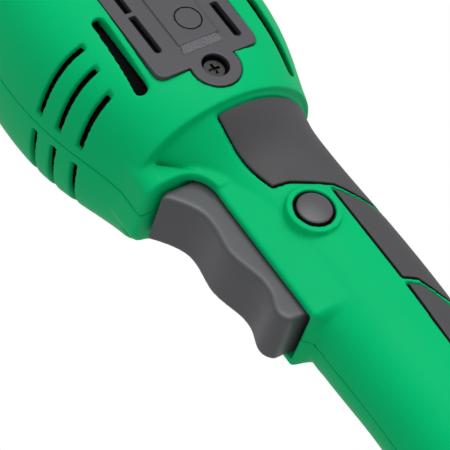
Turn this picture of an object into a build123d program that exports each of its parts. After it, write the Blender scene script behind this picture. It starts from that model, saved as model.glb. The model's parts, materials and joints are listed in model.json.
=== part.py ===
"""String trimmer with a rear grip motor unit, a straight shaft, a loop handle and a bump-feed head.

The frame is the tool's own: the origin lies on the rear grip's axis level with the lock button, +X runs back
along the grip, +Y is the operator's right hand side and +Z points up through the soft pads of the grip.
All sizes are millimetres.
"""
import os
from math import atan2, cos, degrees, pi, radians, sin, sqrt, tan

from build123d import *

os.makedirs("parts", exist_ok=True)

# ------------------------------------------------------------------ driving dimensions
wall = 2.5                  # moulded wall of the motor housing
running_gap = 0.3           # between parts that move past each other
seat_gap = 0.05             # radial clearance of a part seated in its bore
bearing_fit = 0.03          # radial clearance of a shaft that turns in its bush

# axes and stations along the tool
motor_z = -13.0             # motor and shaft axis, below the grip's axis
grip_end_x = 112.0          # rear face of the grip
shoulder_x = -43.0          # where the motor housing steps down to the grip
front_x = -205.0            # front face of the motor housing

# sections across the housing: x, lowest z, highest z, half width, squareness of the oval, height of its belt
body_sections = [
    (front_x, -47.0, 21.0, 31.0, 2.4, -13.0),
    (-190.0, -56.0, 29.5, 37.0, 2.8, -13.0),
    (-165.0, -60.5, 33.0, 39.5, 3.3, -14.0),
    (-125.0, -61.5, 33.5, 40.0, 3.5, -14.0),
    (-85.0, -61.0, 33.5, 40.0, 3.5, -14.0),
    (-68.0, -56.8, 32.8, 39.8, 3.1, -16.0),
    (-55.0, -52.5, 31.0, 39.4, 2.6, -19.0),
    (shoulder_x, -50.0, 29.0, 38.2, 2.15, -23.0),
]
grip_sections = [
    (-60.0, -49.0, 27.5, 36.5, 2.2, -22.0),
    (-47.0, -46.5, 26.8, 35.8, 2.1, -22.0),
    (-42.0, -41.5, 26.0, 34.4, 2.1, -20.0),
    (-37.0, -35.5, 24.9, 30.4, 2.2, -16.0),
    (-32.0, -31.2, 24.1, 26.6, 2.3, -11.0),
    (-26.0, -28.3, 23.7, 23.8, 2.4, -6.0),
    (-14.0, -26.3, 23.6, 21.6, 2.5, -1.3),
    (12.0, -25.3, 25.0, 21.0, 2.5, 0.0),
    (50.0, -25.0, 25.0, 21.0, 2.5, 0.0),
    (84.0, -25.0, 25.0, 21.2, 2.5, 0.0),
    (102.0, -27.2, 27.0, 23.0, 2.6, 0.0),
    (grip_end_x, -26.6, 26.4, 22.4, 2.6, 0.0),
]
section_points = 8          # points round each oval

# trigger and its guard
trigger_half_width = 12.5
trigger_side_gap = 0.4
trigger_front_x = -33.6
trigger_rear_x = 29.4
trigger_depth_front = -46.0
trigger_top_z = -21.0
trigger_pivot_x = -27.5
trigger_pivot_z = -23.5
trigger_pin_radius = 2.0
trigger_slot_front_x = -34.6
trigger_slot_rear_x = 31.4
guard_bottom_z = -50.4
guard_corner_z = -28.3      # underside of the rim round the trigger's slot, where the guard's arc meets it
guard_half_width = 17.5
guard_fillet = 10.0

# lock button
lock_z = -6.3
lock_button_radius = 6.6
lock_hole_radius = 7.3
lock_collar_radius = 10.0
lock_collar_y = -23.0
lock_travel = 3.0

# soft pads
pad_thickness = 1.8
pad_gap = 0.9

# cooling vents
vent_stations = (-85.0, -76.0, -66.5)
vent_width = 2.8
vent_seam_distance = 4.0
vent_reach = 36.5
side_slot_length = 32.5
side_slot_width = 5.0
low_slot = (-75.7, -40.0)
high_slot = (-64.3, 17.7)
high_slot_width = 4.0

# brush covers
cover_front_x = -130.0
cover_rear_x = -59.5
cover_middle_z = -13.5
cover_height = 42.6
cover_face_y = 39.3
cover_thickness = 2.6
cover_gap = 0.35
cover_tab_radius = 9.2
cover_screw_x = -57.0
cover_screw_recess = 5.0

# motor
shaft_radius = 4.0
bearing_radius = 11.0
bearing_width = 7.0
stator_radius = 33.0
stator_front_x = -162.0
stator_rear_x = -117.0
armature_radius = 19.0
air_gap = 0.6
commutator_x = -104.0
commutator_length = 17.0
commutator_radius = 11.5
rear_bearing_x = -77.0
front_bearing_x = -199.0
fan_x = -180.0
fan_width = 11.0
fan_radius = 29.4
fan_blades = 12
brush_width = 8.0
brush_height = 6.0

# shaft tube and drive
tube_radius = 13.0
tube_wall = 1.5
tube_rear_x = -226.0
rod_radius = 3.5
coupling_radius = 9.0
coupling_length = 22.0
collar_front_x = -266.0
collar_flange = 6.0
collar_flange_radius = 30.0
flange_screw_circle = 25.0
flange_screw_radius = 2.2
flange_screw_bite = 5.5     # depth of the flange screws in the housing's front wall
bush_stations = (-330.0, -640.0, -950.0)
bush_length = 12.0

# gear head
head_x = -1165.0            # where the shaft axis meets the head's own axis
head_tilt = 45.0            # working slope of the shaft, so the head stands level
pinion_teeth = 12
gear_teeth = 16
cone_distance = 30.0
face_width = 9.0
tooth_backlash = 0.22       # share of the tooth's thickness that is left out

# loop handle
loop_x = -430.0
loop_width = 128.0
loop_height = 118.0
loop_bar_radius = 9.0
loop_corner = 34.0

# cutting head
cut_radius = 150.0
guard_radius = 156.0
guard_angle = 140.0
guard_skirt = 42.0
guard_plate = 3.0
line_radius = 1.2
spool_case_radius = 48.0
bump_travel = 5.0

# ------------------------------------------------------------------ frames worked out from the sizes
tilt = radians(head_tilt)
head_origin = Vector(head_x, 0, motor_z)
head_up = Vector(sin(tilt), 0, cos(tilt))
head_back = Vector(cos(tilt), 0, -sin(tilt))
head_section = Plane(origin=head_origin, x_dir=head_back, z_dir=(0, -1, 0))
head_ground = Plane(origin=head_origin, x_dir=head_back, z_dir=head_up)
head_axis = Axis(head_origin, head_up)
motor_section = Plane(origin=(0, 0, motor_z), x_dir=(1, 0, 0), z_dir=(0, -1, 0))
motor_axis = Axis((0, 0, motor_z), (1, 0, 0))


def across(x, y=0.0, z=motor_z):
    """Plane across the tool at x, with its own x to the right and its own y up."""
    return Plane(origin=(x, y, z), x_dir=(0, 1, 0), z_dir=(1, 0, 0))


def side(y):
    """Plane facing the left side of the tool at y, with x and z as drawn."""
    return Plane(origin=(0, y, 0), x_dir=(1, 0, 0), z_dir=(0, -1, 0))


def finish(piece, node):
    """Labels a finished piece and writes its STEP file."""
    piece.part.label = node
    export_step(piece.part, f"parts/{node}.step")


def oval(x, low, high, half_width, squareness, belt, inset=0.0):
    """Squared oval across the tool at x, widest at its belt and drawn inset from its outer size."""
    width = half_width - inset
    points = []
    for step in range(section_points):
        turn = 2 * pi * step / section_points
        reach_y = abs(cos(turn)) ** (2 / squareness)
        reach_z = abs(sin(turn)) ** (2 / squareness)
        y = width * reach_y * (1 if cos(turn) >= 0 else -1)
        edge = high - inset if sin(turn) >= 0 else low + inset
        points.append((y, belt + (edge - belt) * reach_z))
    with BuildSketch(across(x, z=0), mode=Mode.PRIVATE) as section:
        with BuildLine():
            Spline(*points, periodic=True)
        make_face()
    return section.sketch


def ring(plane_axis, section, stations, outer, inner):
    """Turned ring between two stations, from its inner to its outer radius."""
    with BuildPart(mode=Mode.PRIVATE) as turned:
        with BuildSketch(section):
            with Locations((sum(stations) / 2, (outer + inner) / 2)):
                Rectangle(abs(stations[1] - stations[0]), outer - inner)
        revolve(axis=plane_axis)
    return turned.part


def motor_ring(start_x, end_x, outer, inner=0.0):
    """Ring about the motor axis."""
    return ring(motor_axis, motor_section, (start_x, end_x), outer, inner)


def head_ring(low, high, outer, inner=0.0):
    """Ring about the head's axis between two heights above the gears' common point."""
    with BuildPart(mode=Mode.PRIVATE) as turned:
        with BuildSketch(head_section):
            with Locations(((outer + inner) / 2, (low + high) / 2)):
                Rectangle(outer - inner, high - low)
        revolve(axis=head_axis)
    return turned.part


def coil(start, direction, length, radius, wire, turns):
    """Coil spring with a round wire."""
    frame = Plane(origin=start, z_dir=direction)
    pitch = (length - 2 * wire) / turns
    path = frame * Helix(pitch=pitch, height=length - 2 * wire, radius=radius)
    path = path.moved(Location(Vector(*direction).normalized() * wire))
    with BuildPart(mode=Mode.PRIVATE) as spring:
        with BuildLine() as wire_line:
            add(path)
        with BuildSketch(Plane(origin=path @ 0, z_dir=path % 0)):
            Circle(wire)
        sweep(path=wire_line.line, is_frenet=True)
    return spring.part


def box_between(low, high):
    """Block between two corners of the tool's own frame."""
    size = [b - a for a, b in zip(low, high)]
    middle = [(a + b) / 2 for a, b in zip(low, high)]
    with BuildPart(mode=Mode.PRIVATE) as block:
        with Locations(tuple(middle)):
            Box(*size)
    return block.part


def rod(start, end, radius):
    """Round bar from one point to another."""
    start = Vector(start)
    run = Vector(end) - start
    with BuildPart(mode=Mode.PRIVATE) as bar:
        with BuildSketch(Plane(origin=start, z_dir=run)):
            Circle(radius)
        extrude(amount=run.length)
    return bar.part


def screw(seat, direction, length, shank, head, head_height, socket=True):
    """Pan head screw; seat is where its head bears and direction is the way its shank goes."""
    way = Vector(direction).normalized()
    head_plane = Plane(origin=Vector(seat) - way * head_height, z_dir=way)
    with BuildPart(mode=Mode.PRIVATE) as fastener:
        with BuildSketch(head_plane):
            Circle(head)
        extrude(amount=head_height, taper=-8)
        with BuildSketch(Plane(origin=seat, z_dir=way)):
            Circle(shank)
        extrude(amount=length)
        if socket:
            with BuildSketch(head_plane):
                Rectangle(head * 1.2, head * 0.3)
                Rectangle(head * 0.3, head * 1.2)
            extrude(amount=head_height * 0.6, mode=Mode.SUBTRACT)
    return fastener.part


# ------------------------------------------------------------------ housing halves
cover_pocket_y = cover_face_y - cover_thickness
housing_screw_places = [      # x, z and the height of the head's seat on the right half
    (-184.0, 21.5, 22.0), (-184.0, -47.5, 22.0), (-111.0, 25.5, 26.0), (-111.0, -53.5, 26.0),
    (-50.5, 18.0, 24.0), (0.5, 15.5, 8.0), (66.0, -12.0, 15.0),
]
screw_shank = 1.9
screw_head = 3.7
screw_boss = 4.6
switch_front_x = 12.0
switch_rear_x = 44.0
switch_low_z = -13.0
switch_high_z = 9.0
switch_half_width = 8.0
inlet_radius = 14.6
inlet_depth = 26.0
brush_x = commutator_x + commutator_length / 2
brush_block_y = 22.0
holder_wall = 2.0
spring_seat = (-20.0, -9.4, -11.0, -8.4)
baffle_x = -172.5
baffle_thickness = 2.5
baffle_bore = 24.0

guard_front_x = -62.0
guard_arc_top = guard_fillet + trigger_slot_front_x
guard_arc_low = guard_corner_z - guard_fillet
guard_ridge = [(-25.0, -21.5), (-28.5, -22.6), (-46.5, -49.0), (guard_front_x, -49.0)]
rim_root_z = -8.0
rim_root_half_width = 20.3
rim_half_width = 15.8
rim_front_x = guard_arc_top - 5.0
rim_rear_x = trigger_slot_rear_x + 4.0
rim_slope = 5.0             # length over which the rim's rear end runs out into the grip
rim_edge = 1.5


with BuildPart() as outer_form:
    loft(sections=[oval(*section) for section in body_sections])
    loft(sections=[oval(*section) for section in grip_sections])
    with BuildSketch(side(0), mode=Mode.PRIVATE) as guard_profile:
        with BuildLine():
            Polyline(
                (guard_arc_top, guard_corner_z), *guard_ridge, (guard_front_x, guard_bottom_z),
                (trigger_slot_front_x, guard_bottom_z), (trigger_slot_front_x, guard_arc_low),
            )
            RadiusArc((trigger_slot_front_x, guard_arc_low), (guard_arc_top, guard_corner_z), guard_fillet)
        make_face()
    with BuildPart(mode=Mode.PRIVATE) as guard_block:
        add(extrude(guard_profile.sketch, amount=guard_half_width, both=True))
        fillet(guard_block.edges().filter_by(Axis.X).group_by(Axis.Z)[0], 7.0)
    add(guard_block.part)
    # tapered rim round the trigger's slot, its rear end sloped into the grip
    with BuildPart(mode=Mode.PRIVATE) as slot_rim:
        with BuildSketch(across(rim_front_x, z=0)):
            with BuildLine():
                Polyline((rim_root_half_width, rim_root_z), (rim_half_width, guard_corner_z),
                         (-rim_half_width, guard_corner_z), (-rim_root_half_width, rim_root_z), close=True)
            make_face()
        extrude(amount=rim_rear_x + rim_slope - rim_front_x)
        fillet(slot_rim.edges().filter_by(Axis.X).group_by(Axis.Z)[0], rim_edge)
        with BuildSketch(side(0)):
            with BuildLine():
                Polyline((rim_rear_x, guard_corner_z - 1), (rim_rear_x + rim_slope + 1, guard_corner_z - 1),
                         (rim_rear_x + rim_slope + 1, -20), close=True)
            make_face()
        extrude(amount=rim_root_half_width + 1, both=True, mode=Mode.SUBTRACT)
    add(slot_rim.part)
    add(rod((0, lock_collar_y, lock_z), (0, -12.0, lock_z), lock_collar_radius))

with BuildPart() as cavity:
    reach = 60.0
    loft(sections=[oval(*section, inset=wall) for section in body_sections])
    # the step down to the grip stays closed
    add(box_between((shoulder_x - wall, -reach, -90), (shoulder_x + 1, reach, reach)), mode=Mode.SUBTRACT)
    loft(sections=[oval(*section, inset=wall) for section in grip_sections])
    rib = 3.0
    blocks = [
        # end walls
        ((front_x - 1, -reach, -90), (front_bearing_x + bearing_width, reach, reach)),
        ((grip_end_x - inlet_depth, -reach, -90), (grip_end_x + 1, reach, reach)),
        # ribs round the stator and the fan baffle
        ((stator_front_x + 4, -reach, -90), (stator_front_x + 4 + rib, reach, reach)),
        ((stator_rear_x - 4 - rib, -reach, -90), (stator_rear_x - 4, reach, reach)),
        ((baffle_x, -reach, -90), (baffle_x + baffle_thickness, reach, reach)),
        # bridge that carries the rear bearing
        ((rear_bearing_x - 2, -reach, motor_z - 15), (rear_bearing_x + bearing_width, reach, motor_z + 15)),
        # seat of the trigger spring
        ((spring_seat[0], -reach, spring_seat[2]), (spring_seat[1], reach, spring_seat[3])),
    ]
    for way in (-1, 1):
        for low, high in (
            # brush holder blocks, screw bosses of the covers and ribs beside the switch
            ((brush_x - 10, brush_block_y, motor_z - 9), (brush_x + 10, reach, motor_z + 9)),
            ((cover_front_x - 3, cover_pocket_y - wall, cover_middle_z - cover_height / 2 - 3),
             (cover_rear_x + 4, reach, cover_middle_z + cover_height / 2 + 3)),
            ((switch_front_x + 3, switch_half_width + seat_gap, switch_low_z), (switch_front_x + 6, reach, 12.0)),
            ((switch_rear_x - 6, switch_half_width + seat_gap, switch_low_z), (switch_rear_x - 3, reach, 12.0)),
        ):
            blocks.append(((low[0], min(way * low[1], way * high[1]), low[2]),
                           (high[0], max(way * low[1], way * high[1]), high[2])))
    solid_parts = [box_between(low, high) for low, high in blocks]
    for x, z, _ in housing_screw_places:
        solid_parts.append(rod((x, -reach, z), (x, reach, z), screw_boss))
    for way in (-1, 1):
        solid_parts.append(rod((cover_screw_x, way * 22, motor_z), (cover_screw_x, way * reach, motor_z), 9.0))
    solid_parts.append(rod((0, 0.5, lock_z), (0, reach, lock_z), 5.5))
    add(solid_parts, mode=Mode.SUBTRACT)


def cover_outline(grow=0.0):
    """Outline of a brush cover on the housing's side, with the round tab of its screw."""
    with BuildSketch(side(0), mode=Mode.PRIVATE) as outline:
        with Locations(((cover_front_x + cover_rear_x) / 2, cover_middle_z)):
            RectangleRounded(cover_rear_x - cover_front_x + 2 * grow, cover_height + 2 * grow, 3.6 + grow)
        with Locations((cover_screw_x, motor_z)):
            Circle(cover_tab_radius + grow)
    return outline.sketch


def slot_row():
    """Outlines of the two ribbed slots in a brush cover."""
    with BuildSketch(side(0), mode=Mode.PRIVATE) as slots:
        with Locations((-86.5, -28.2), (-81.5, 2.4)):
            SlotOverall(34.0, 3.0)
        with Locations((-88.0, -28.2), (-82.0, 2.4)):
            Rectangle(1.8, 4.0, mode=Mode.SUBTRACT)
    return slots.sketch


flange_turns = (pi / 4, 3 * pi / 4, 5 * pi / 4, 7 * pi / 4)
flange_screw_places = [
    (front_x - collar_flange, flange_screw_circle * cos(turn), motor_z + flange_screw_circle * sin(turn))
    for turn in flange_turns
]

# everything that is cut through the walls and ribs, gathered so that it is cut in one go
openings = [
    # bores that take the shaft collar's screws
    *[rod((front_x - 1, y, z), (front_x + flange_screw_bite + 0.5, y, z), flange_screw_radius + seat_gap)
      for _, y, z in flange_screw_places],
    # bores for the bearings, stator, baffle and inlet
    motor_ring(front_x - 1, front_bearing_x + bearing_width + 1, 9.5),
    motor_ring(front_bearing_x, front_bearing_x + bearing_width + 1, bearing_radius + seat_gap),
    motor_ring(rear_bearing_x, rear_bearing_x + bearing_width + 1, bearing_radius + seat_gap),
    motor_ring(rear_bearing_x - 3, rear_bearing_x + 1, 8.0),
    motor_ring(stator_front_x, stator_rear_x, stator_radius + seat_gap),
    motor_ring(baffle_x - 1, baffle_x + baffle_thickness + 1, baffle_bore),
    rod((grip_end_x - inlet_depth - 1, 0, 0), (grip_end_x + 1, 0, 0), inlet_radius + seat_gap),
    # trigger slot and the pin's bore
    box_between((trigger_slot_front_x, -trigger_half_width - trigger_side_gap, -70),
                (trigger_slot_rear_x, trigger_half_width + trigger_side_gap, -17)),
    rod((trigger_pivot_x, -15.6, trigger_pivot_z), (trigger_pivot_x, 15.6, trigger_pivot_z),
        trigger_pin_radius + seat_gap),
]
for x in vent_stations:
    # intake vents under the housing on both sides of the seam
    for way in (-1, 1):
        ends = sorted((way * vent_seam_distance, way * vent_reach))
        openings.append(box_between((x - vent_width / 2, ends[0], -75), (x + vent_width / 2, ends[1], -48)))
with BuildPart() as side_openings:
    # long side slots, and exhaust slots over the fan
    with BuildSketch(side(0)):
        with Locations(low_slot):
            SlotOverall(side_slot_length, side_slot_width)
        with Locations(high_slot):
            SlotOverall(side_slot_length, high_slot_width)
        with Locations(*[(fan_x + fan_width / 2 + 1.5, motor_z + step * 8.0) for step in range(-2, 3)]):
            SlotOverall(13.0, 3.2)
    extrude(amount=reach, both=True)
openings.extend(side_openings.part.solids())
holder_half_x = brush_width / 2 + holder_wall
holder_half_z = brush_height / 2 + holder_wall
for way in (-1, 1):
    # pocket of the brush cover, its screw cup, the brush holder's pocket and the air way behind the cover
    with BuildPart() as cover_pocket:
        with BuildSketch(side(way * cover_pocket_y)):
            add(cover_outline(cover_gap))
        extrude(amount=-way * 10)
    openings.append(cover_pocket.part)
    openings.append(rod((cover_screw_x, way * 33.0, motor_z), (cover_screw_x, way * 40, motor_z), 6.6))
    openings.append(rod((cover_screw_x, way * 23.0, motor_z), (cover_screw_x, way * 40, motor_z),
                        screw_shank + seat_gap))
    holder = sorted((way * (brush_block_y - 1), way * (cover_pocket_y + 1)))
    openings.append(box_between(
        (brush_x - holder_half_x - seat_gap, holder[0], motor_z - holder_half_z - seat_gap),
        (brush_x + holder_half_x + seat_gap, holder[1], motor_z + holder_half_z + seat_gap)))
    for z in (-28.2, 2.4):
        air = sorted((way * 30.0, way * (cover_pocket_y + 1)))
        openings.append(box_between((-103.0, air[0], z - 2.2), (-66.0, air[1], z + 2.2)))

pad_floor_sections = [oval(*section, inset=pad_thickness) for section in grip_sections]
with BuildPart() as grip_skin:
    loft(sections=[oval(*section) for section in grip_sections])
    loft(sections=pad_floor_sections, mode=Mode.SUBTRACT)
    add(box_between((grip_sections[0][0] - 1, -reach, -90), (shoulder_x, reach, reach)), mode=Mode.SUBTRACT)

pad_corners = {
    # front edge from the bottom up, then the rear and lower edges from the top down
    "neck": ([(-41.5, -21.2), (-41.5, 32.0)],
             [(16.0, 32.0), (3.0, 17.0), (-6.8, 8.5), (-14.2, -6.5), (-15.4, -12.4), (-23.1, -15.1), (-34.0, -18.4)]),
    "palm": ([(-4.8, 6.7), (3.0, 14.0), (22.0, 32.0)], [(66.0, 32.0), (46.5, 16.3), (38.0, 11.5), (35.5, 6.4)]),
    "rear": ([(38.8, 6.4), (41.3, 10.8), (50.0, 15.0), (69.0, 32.0)], [(97.0, 32.0), (98.0, 18.0), (98.0, 4.2)]),
}


def pad_prism(name, grow=0.0):
    """Block over a soft pad's outline as seen from the side."""
    front_edge, rear_edge = pad_corners[name]
    with BuildPart(mode=Mode.PRIVATE) as prism:
        with BuildSketch(side(0)):
            with BuildLine():
                Polyline(*front_edge, *rear_edge, close=True)
            make_face()
            if grow:
                offset(amount=grow, kind=Kind.INTERSECTION)
        extrude(amount=40, both=True)
    return prism.part


# pockets of the pads: everything over the pads' floor inside their outlines
with BuildPart() as pad_recess:
    for name in pad_corners:
        add(pad_prism(name, pad_gap))
    loft(sections=pad_floor_sections, mode=Mode.SUBTRACT)

left_openings = [piece for piece in openings if piece.bounding_box().min.Y < -1]
left_openings.append(rod((0, -30, lock_z), (0, -14, lock_z), lock_hole_radius))
for x, z, _ in housing_screw_places:
    left_openings.append(rod((x, 1, z), (x, -10.5, z), screw_shank + seat_gap))

with BuildPart() as housing_left:
    add(outer_form.part)
    split(bisect_by=Plane.XZ, keep=Keep.TOP)
    add([cavity.part, pad_recess.part, *left_openings], mode=Mode.SUBTRACT, clean=False)
finish(housing_left, "housing_left")

right_openings = [piece for piece in openings if piece.bounding_box().max.Y > 1]
right_openings.append(rod((0, 0.4, lock_z), (0, 9.0, lock_z), 3.3))
for x, z, seat_y in housing_screw_places:
    right_openings.append(rod((x, -1, z), (x, 50, z), screw_shank + 0.2))
    right_openings.append(rod((x, seat_y, z), (x, 50, z), screw_head + 0.3))

with BuildPart() as housing_right:
    add(outer_form.part)
    split(bisect_by=Plane.XZ, keep=Keep.BOTTOM)
    add([cavity.part, pad_recess.part, *right_openings], mode=Mode.SUBTRACT, clean=False)
finish(housing_right, "housing_right")

with BuildPart() as housing_screws:
    for x, z, seat_y in housing_screw_places:
        add(screw((x, seat_y, z), (0, -1, 0), seat_y + 10.0, screw_shank, screw_head, 2.4))
finish(housing_screws, "housing_screws")


# ------------------------------------------------------------------ soft pads of the grip
for name in pad_corners:
    with BuildPart() as whole_pad:
        add(pad_prism(name))
        add(grip_skin.part, mode=Mode.INTERSECT)
    with BuildPart() as pad_left:
        add(whole_pad.part)
        split(bisect_by=Plane.XZ, keep=Keep.TOP)
    finish(pad_left, f"{name}_pad_left")
    with BuildPart() as pad_right:
        add(whole_pad.part)
        split(bisect_by=Plane.XZ, keep=Keep.BOTTOM)
    finish(pad_right, f"{name}_pad_right")

# ------------------------------------------------------------------ brush covers
cover_cup_floor = 33.4
with BuildPart() as cover_left:
    with BuildSketch(side(-cover_pocket_y)):
        add(cover_outline())
    extrude(amount=cover_thickness)
    # raised middle band and the cup that takes the screw
    with BuildSketch(side(-cover_face_y)):
        with Locations((-97.5, motor_z + 0.8)):
            Rectangle(58.0, 17.4)
    extrude(amount=0.8, taper=30)
    add(rod((cover_screw_x, -cover_cup_floor, motor_z), (cover_screw_x, -cover_pocket_y, motor_z), 6.3))
    cuts = [
        rod((cover_screw_x, -cover_cup_floor - 1.2, motor_z), (cover_screw_x, -50, motor_z), cover_screw_recess),
        rod((cover_screw_x, -20, motor_z), (cover_screw_x, -50, motor_z), screw_shank + 0.3),
    ]
    add(cuts, mode=Mode.SUBTRACT)
    with BuildSketch(side(-cover_pocket_y + 1)):
        add(slot_row())
    extrude(amount=6, mode=Mode.SUBTRACT)
    # ring engraved round the side mark
    with BuildSketch(side(-cover_face_y - 0.8 + 0.4)):
        with Locations((-78.0, -10.5)):
            Circle(5.1)
            Circle(4.7, mode=Mode.SUBTRACT)
    extrude(amount=2, mode=Mode.SUBTRACT)
finish(cover_left, "brush_cover_left")

with BuildPart() as cover_right:
    add(mirror(cover_left.part, about=Plane.XZ, mode=Mode.PRIVATE))
finish(cover_right, "brush_cover_right")

with BuildPart() as cover_screws:
    for way in (-1, 1):
        add(screw((cover_screw_x, way * (cover_cup_floor + 1.2), motor_z), (0, -way, 0), 11.0, screw_shank, 3.8, 2.4))
finish(cover_screws, "brush_cover_screws")

# ------------------------------------------------------------------ trigger, switch and lock button
trigger_stop_half_width = 4.5
with BuildPart() as trigger:
    with BuildSketch(side(0)):
        with BuildLine():
            Polyline((trigger_front_x + 1.6, trigger_depth_front), (trigger_front_x, -43.5),
                     (trigger_front_x, trigger_pivot_z), (trigger_front_x + 2.5, trigger_top_z),
                     (trigger_rear_x, trigger_top_z), (trigger_rear_x, -34.0))
            Spline((trigger_rear_x, -34.0), (24.8, -37.2), (16.0, -34.6), (-3.0, -37.9), (-19.0, -36.8),
                   (-27.5, -41.6), (trigger_front_x + 1.6, trigger_depth_front))
        make_face()
    extrude(amount=trigger_half_width, both=True)
    # stop that rests on the housing's floor, behind the slot
    add(box_between((trigger_rear_x - 1, -trigger_stop_half_width, trigger_top_z - 1.0),
                    (trigger_rear_x + 4.4, trigger_stop_half_width, trigger_top_z)))
    add([
        box_between((-6, -9.5, -31), (17, 9.5, trigger_top_z + 1)),
        rod((trigger_pivot_x, -20, trigger_pivot_z), (trigger_pivot_x, 20, trigger_pivot_z), trigger_pin_radius + 0.06),
    ], mode=Mode.SUBTRACT)
finish(trigger, "trigger")

with BuildPart() as trigger_pin:
    add(rod((trigger_pivot_x, -15.5, trigger_pivot_z), (trigger_pivot_x, 15.5, trigger_pivot_z), trigger_pin_radius))
finish(trigger_pin, "trigger_pin")

trigger_spring_x = (spring_seat[0] + spring_seat[1]) / 2
with BuildPart() as trigger_spring:
    add(coil((trigger_spring_x, 0, trigger_top_z), (0, 0, 1), spring_seat[2] - trigger_top_z, 3.4, 0.45, 5))
finish(trigger_spring, "trigger_spring")

plunger_x = 22.0
with BuildPart() as switch_body:
    add(box_between((switch_front_x, -switch_half_width, switch_low_z), (switch_rear_x, switch_half_width, switch_high_z)))
    fillet(switch_body.edges().filter_by(Axis.Y), 0.8)
    add(rod((plunger_x, 0, switch_low_z - 1), (plunger_x, 0, switch_low_z + 9.5), 2.56), mode=Mode.SUBTRACT)
    # terminal blades on the back
    for y in (-4, 4):
        add(box_between((switch_rear_x, y - 0.4, -4), (switch_rear_x + 7, y + 0.4, 1)))
finish(switch_body, "switch_body")

with BuildPart() as switch_plunger:
    add(rod((plunger_x, 0, trigger_top_z + running_gap), (plunger_x, 0, switch_low_z + 3), 2.5))
finish(switch_plunger, "switch_plunger")

lock_flange_radius = 8.4
lock_wall_inner = -15.5
with BuildPart() as lock_button:
    with BuildSketch(side(0)):
        with Locations((0, lock_z)):
            Circle(lock_button_radius)
    extrude(amount=-lock_collar_y + 0.4)
    fillet(lock_button.edges().group_by(Axis.Y)[0], 0.8)
    add(box_between((-20, lock_wall_inner, -40), (20, 1, 20)), mode=Mode.SUBTRACT)
    add(rod((0, lock_wall_inner + running_gap, lock_z), (0, lock_wall_inner + 2.0, lock_z), lock_flange_radius))
    add(rod((0, lock_wall_inner - 1, lock_z), (0, 4.0, lock_z), 3.0))
finish(lock_button, "lock_button")

with BuildPart() as lock_spring:
    add(coil((0, lock_wall_inner + 2.0, lock_z), (0, 1, 0), 0.5 - lock_wall_inner - 2.0, 4.2, 0.4, 6))
finish(lock_spring, "lock_spring")

# ------------------------------------------------------------------ mains inlet in the end of the grip
inlet_front_x = grip_end_x - inlet_depth
inlet_socket_front = grip_end_x - 18.0
inlet_pin_radius = 2.0
inlet_pin_root_radius = 1.6
inlet_pin_pitch = 10.0
with BuildPart() as power_inlet:
    add(rod((inlet_front_x, 0, 0), (grip_end_x, 0, 0), inlet_radius))
    with BuildSketch(across(grip_end_x, z=0)):
        RectangleRounded(20.0, 14.0, 4.0)
    extrude(amount=-(grip_end_x - inlet_socket_front), mode=Mode.SUBTRACT)
    pin_holes = [rod((inlet_front_x + 2, y, 0), (inlet_socket_front + 1, y, 0), inlet_pin_root_radius + seat_gap)
                 for y in (-inlet_pin_pitch / 2, inlet_pin_pitch / 2)]
    add(pin_holes, mode=Mode.SUBTRACT)
finish(power_inlet, "power_inlet")

with BuildPart() as inlet_pins:
    for y in (-inlet_pin_pitch / 2, inlet_pin_pitch / 2):
        add(rod((inlet_front_x + 2, y, 0), (inlet_socket_front, y, 0), inlet_pin_root_radius))
        add(rod((inlet_socket_front, y, 0), (grip_end_x - 3, y, 0), inlet_pin_radius))
finish(inlet_pins, "inlet_pins")

# ------------------------------------------------------------------ motor
coil_inner = armature_radius + 4.0
coil_outer = stator_radius - 5.0


def field_sector(start_x, end_x, inner, outer, half_angle):
    """Upper and lower ring sectors about the motor axis."""
    with BuildPart(mode=Mode.PRIVATE) as sectors:
        with BuildSketch(across(start_x)):
            Circle(outer)
            Circle(inner, mode=Mode.SUBTRACT)
            for turn in (0, 180):
                with Locations(Location((0, 0), turn)):
                    Polygon((0, 0), (80 * cos(half_angle), 80 * sin(half_angle)), (80 * cos(half_angle), -80 * sin(half_angle)),
                            align=None, mode=Mode.SUBTRACT)
        extrude(amount=end_x - start_x)
    return sectors.part


with BuildPart() as motor_stator:
    add(motor_ring(stator_front_x, stator_rear_x, stator_radius, armature_radius + air_gap))
    add(field_sector(stator_front_x - 1, stator_rear_x + 1, coil_inner - seat_gap, coil_outer + seat_gap, radians(38)),
        mode=Mode.SUBTRACT)
finish(motor_stator, "motor_stator")

with BuildPart() as field_coils:
    add(field_sector(stator_front_x - 6, stator_rear_x + 7, coil_inner, coil_outer, radians(39)))
finish(field_coils, "field_coils")

armature_front_x = stator_front_x + 2
armature_rear_x = stator_rear_x - 2
with BuildPart() as armature_core:
    add(motor_ring(armature_front_x, armature_rear_x, armature_radius, shaft_radius))
    with BuildSketch(across(armature_front_x - 1)):
        with PolarLocations(armature_radius - 3.5, 12):
            Rectangle(9.0, 2.4)
    extrude(amount=armature_rear_x - armature_front_x + 2, mode=Mode.SUBTRACT)
finish(armature_core, "armature_core")

with BuildPart() as armature_winding:
    add(motor_ring(armature_front_x - 6, armature_front_x, armature_radius - 2.5, shaft_radius + 0.5))
    add(motor_ring(armature_rear_x, commutator_x - 6, armature_radius - 2.5, shaft_radius + 0.5))
finish(armature_winding, "armature_winding")

with BuildPart() as commutator:
    add(motor_ring(commutator_x, commutator_x + commutator_length, commutator_radius, shaft_radius))
    add(motor_ring(commutator_x - 4, commutator_x, commutator_radius - 3, shaft_radius))
    with BuildSketch(across(commutator_x + commutator_length)):
        with PolarLocations(commutator_radius, 12):
            Rectangle(1.6, 0.6)
    extrude(amount=-commutator_length, mode=Mode.SUBTRACT)
finish(commutator, "commutator")

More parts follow.
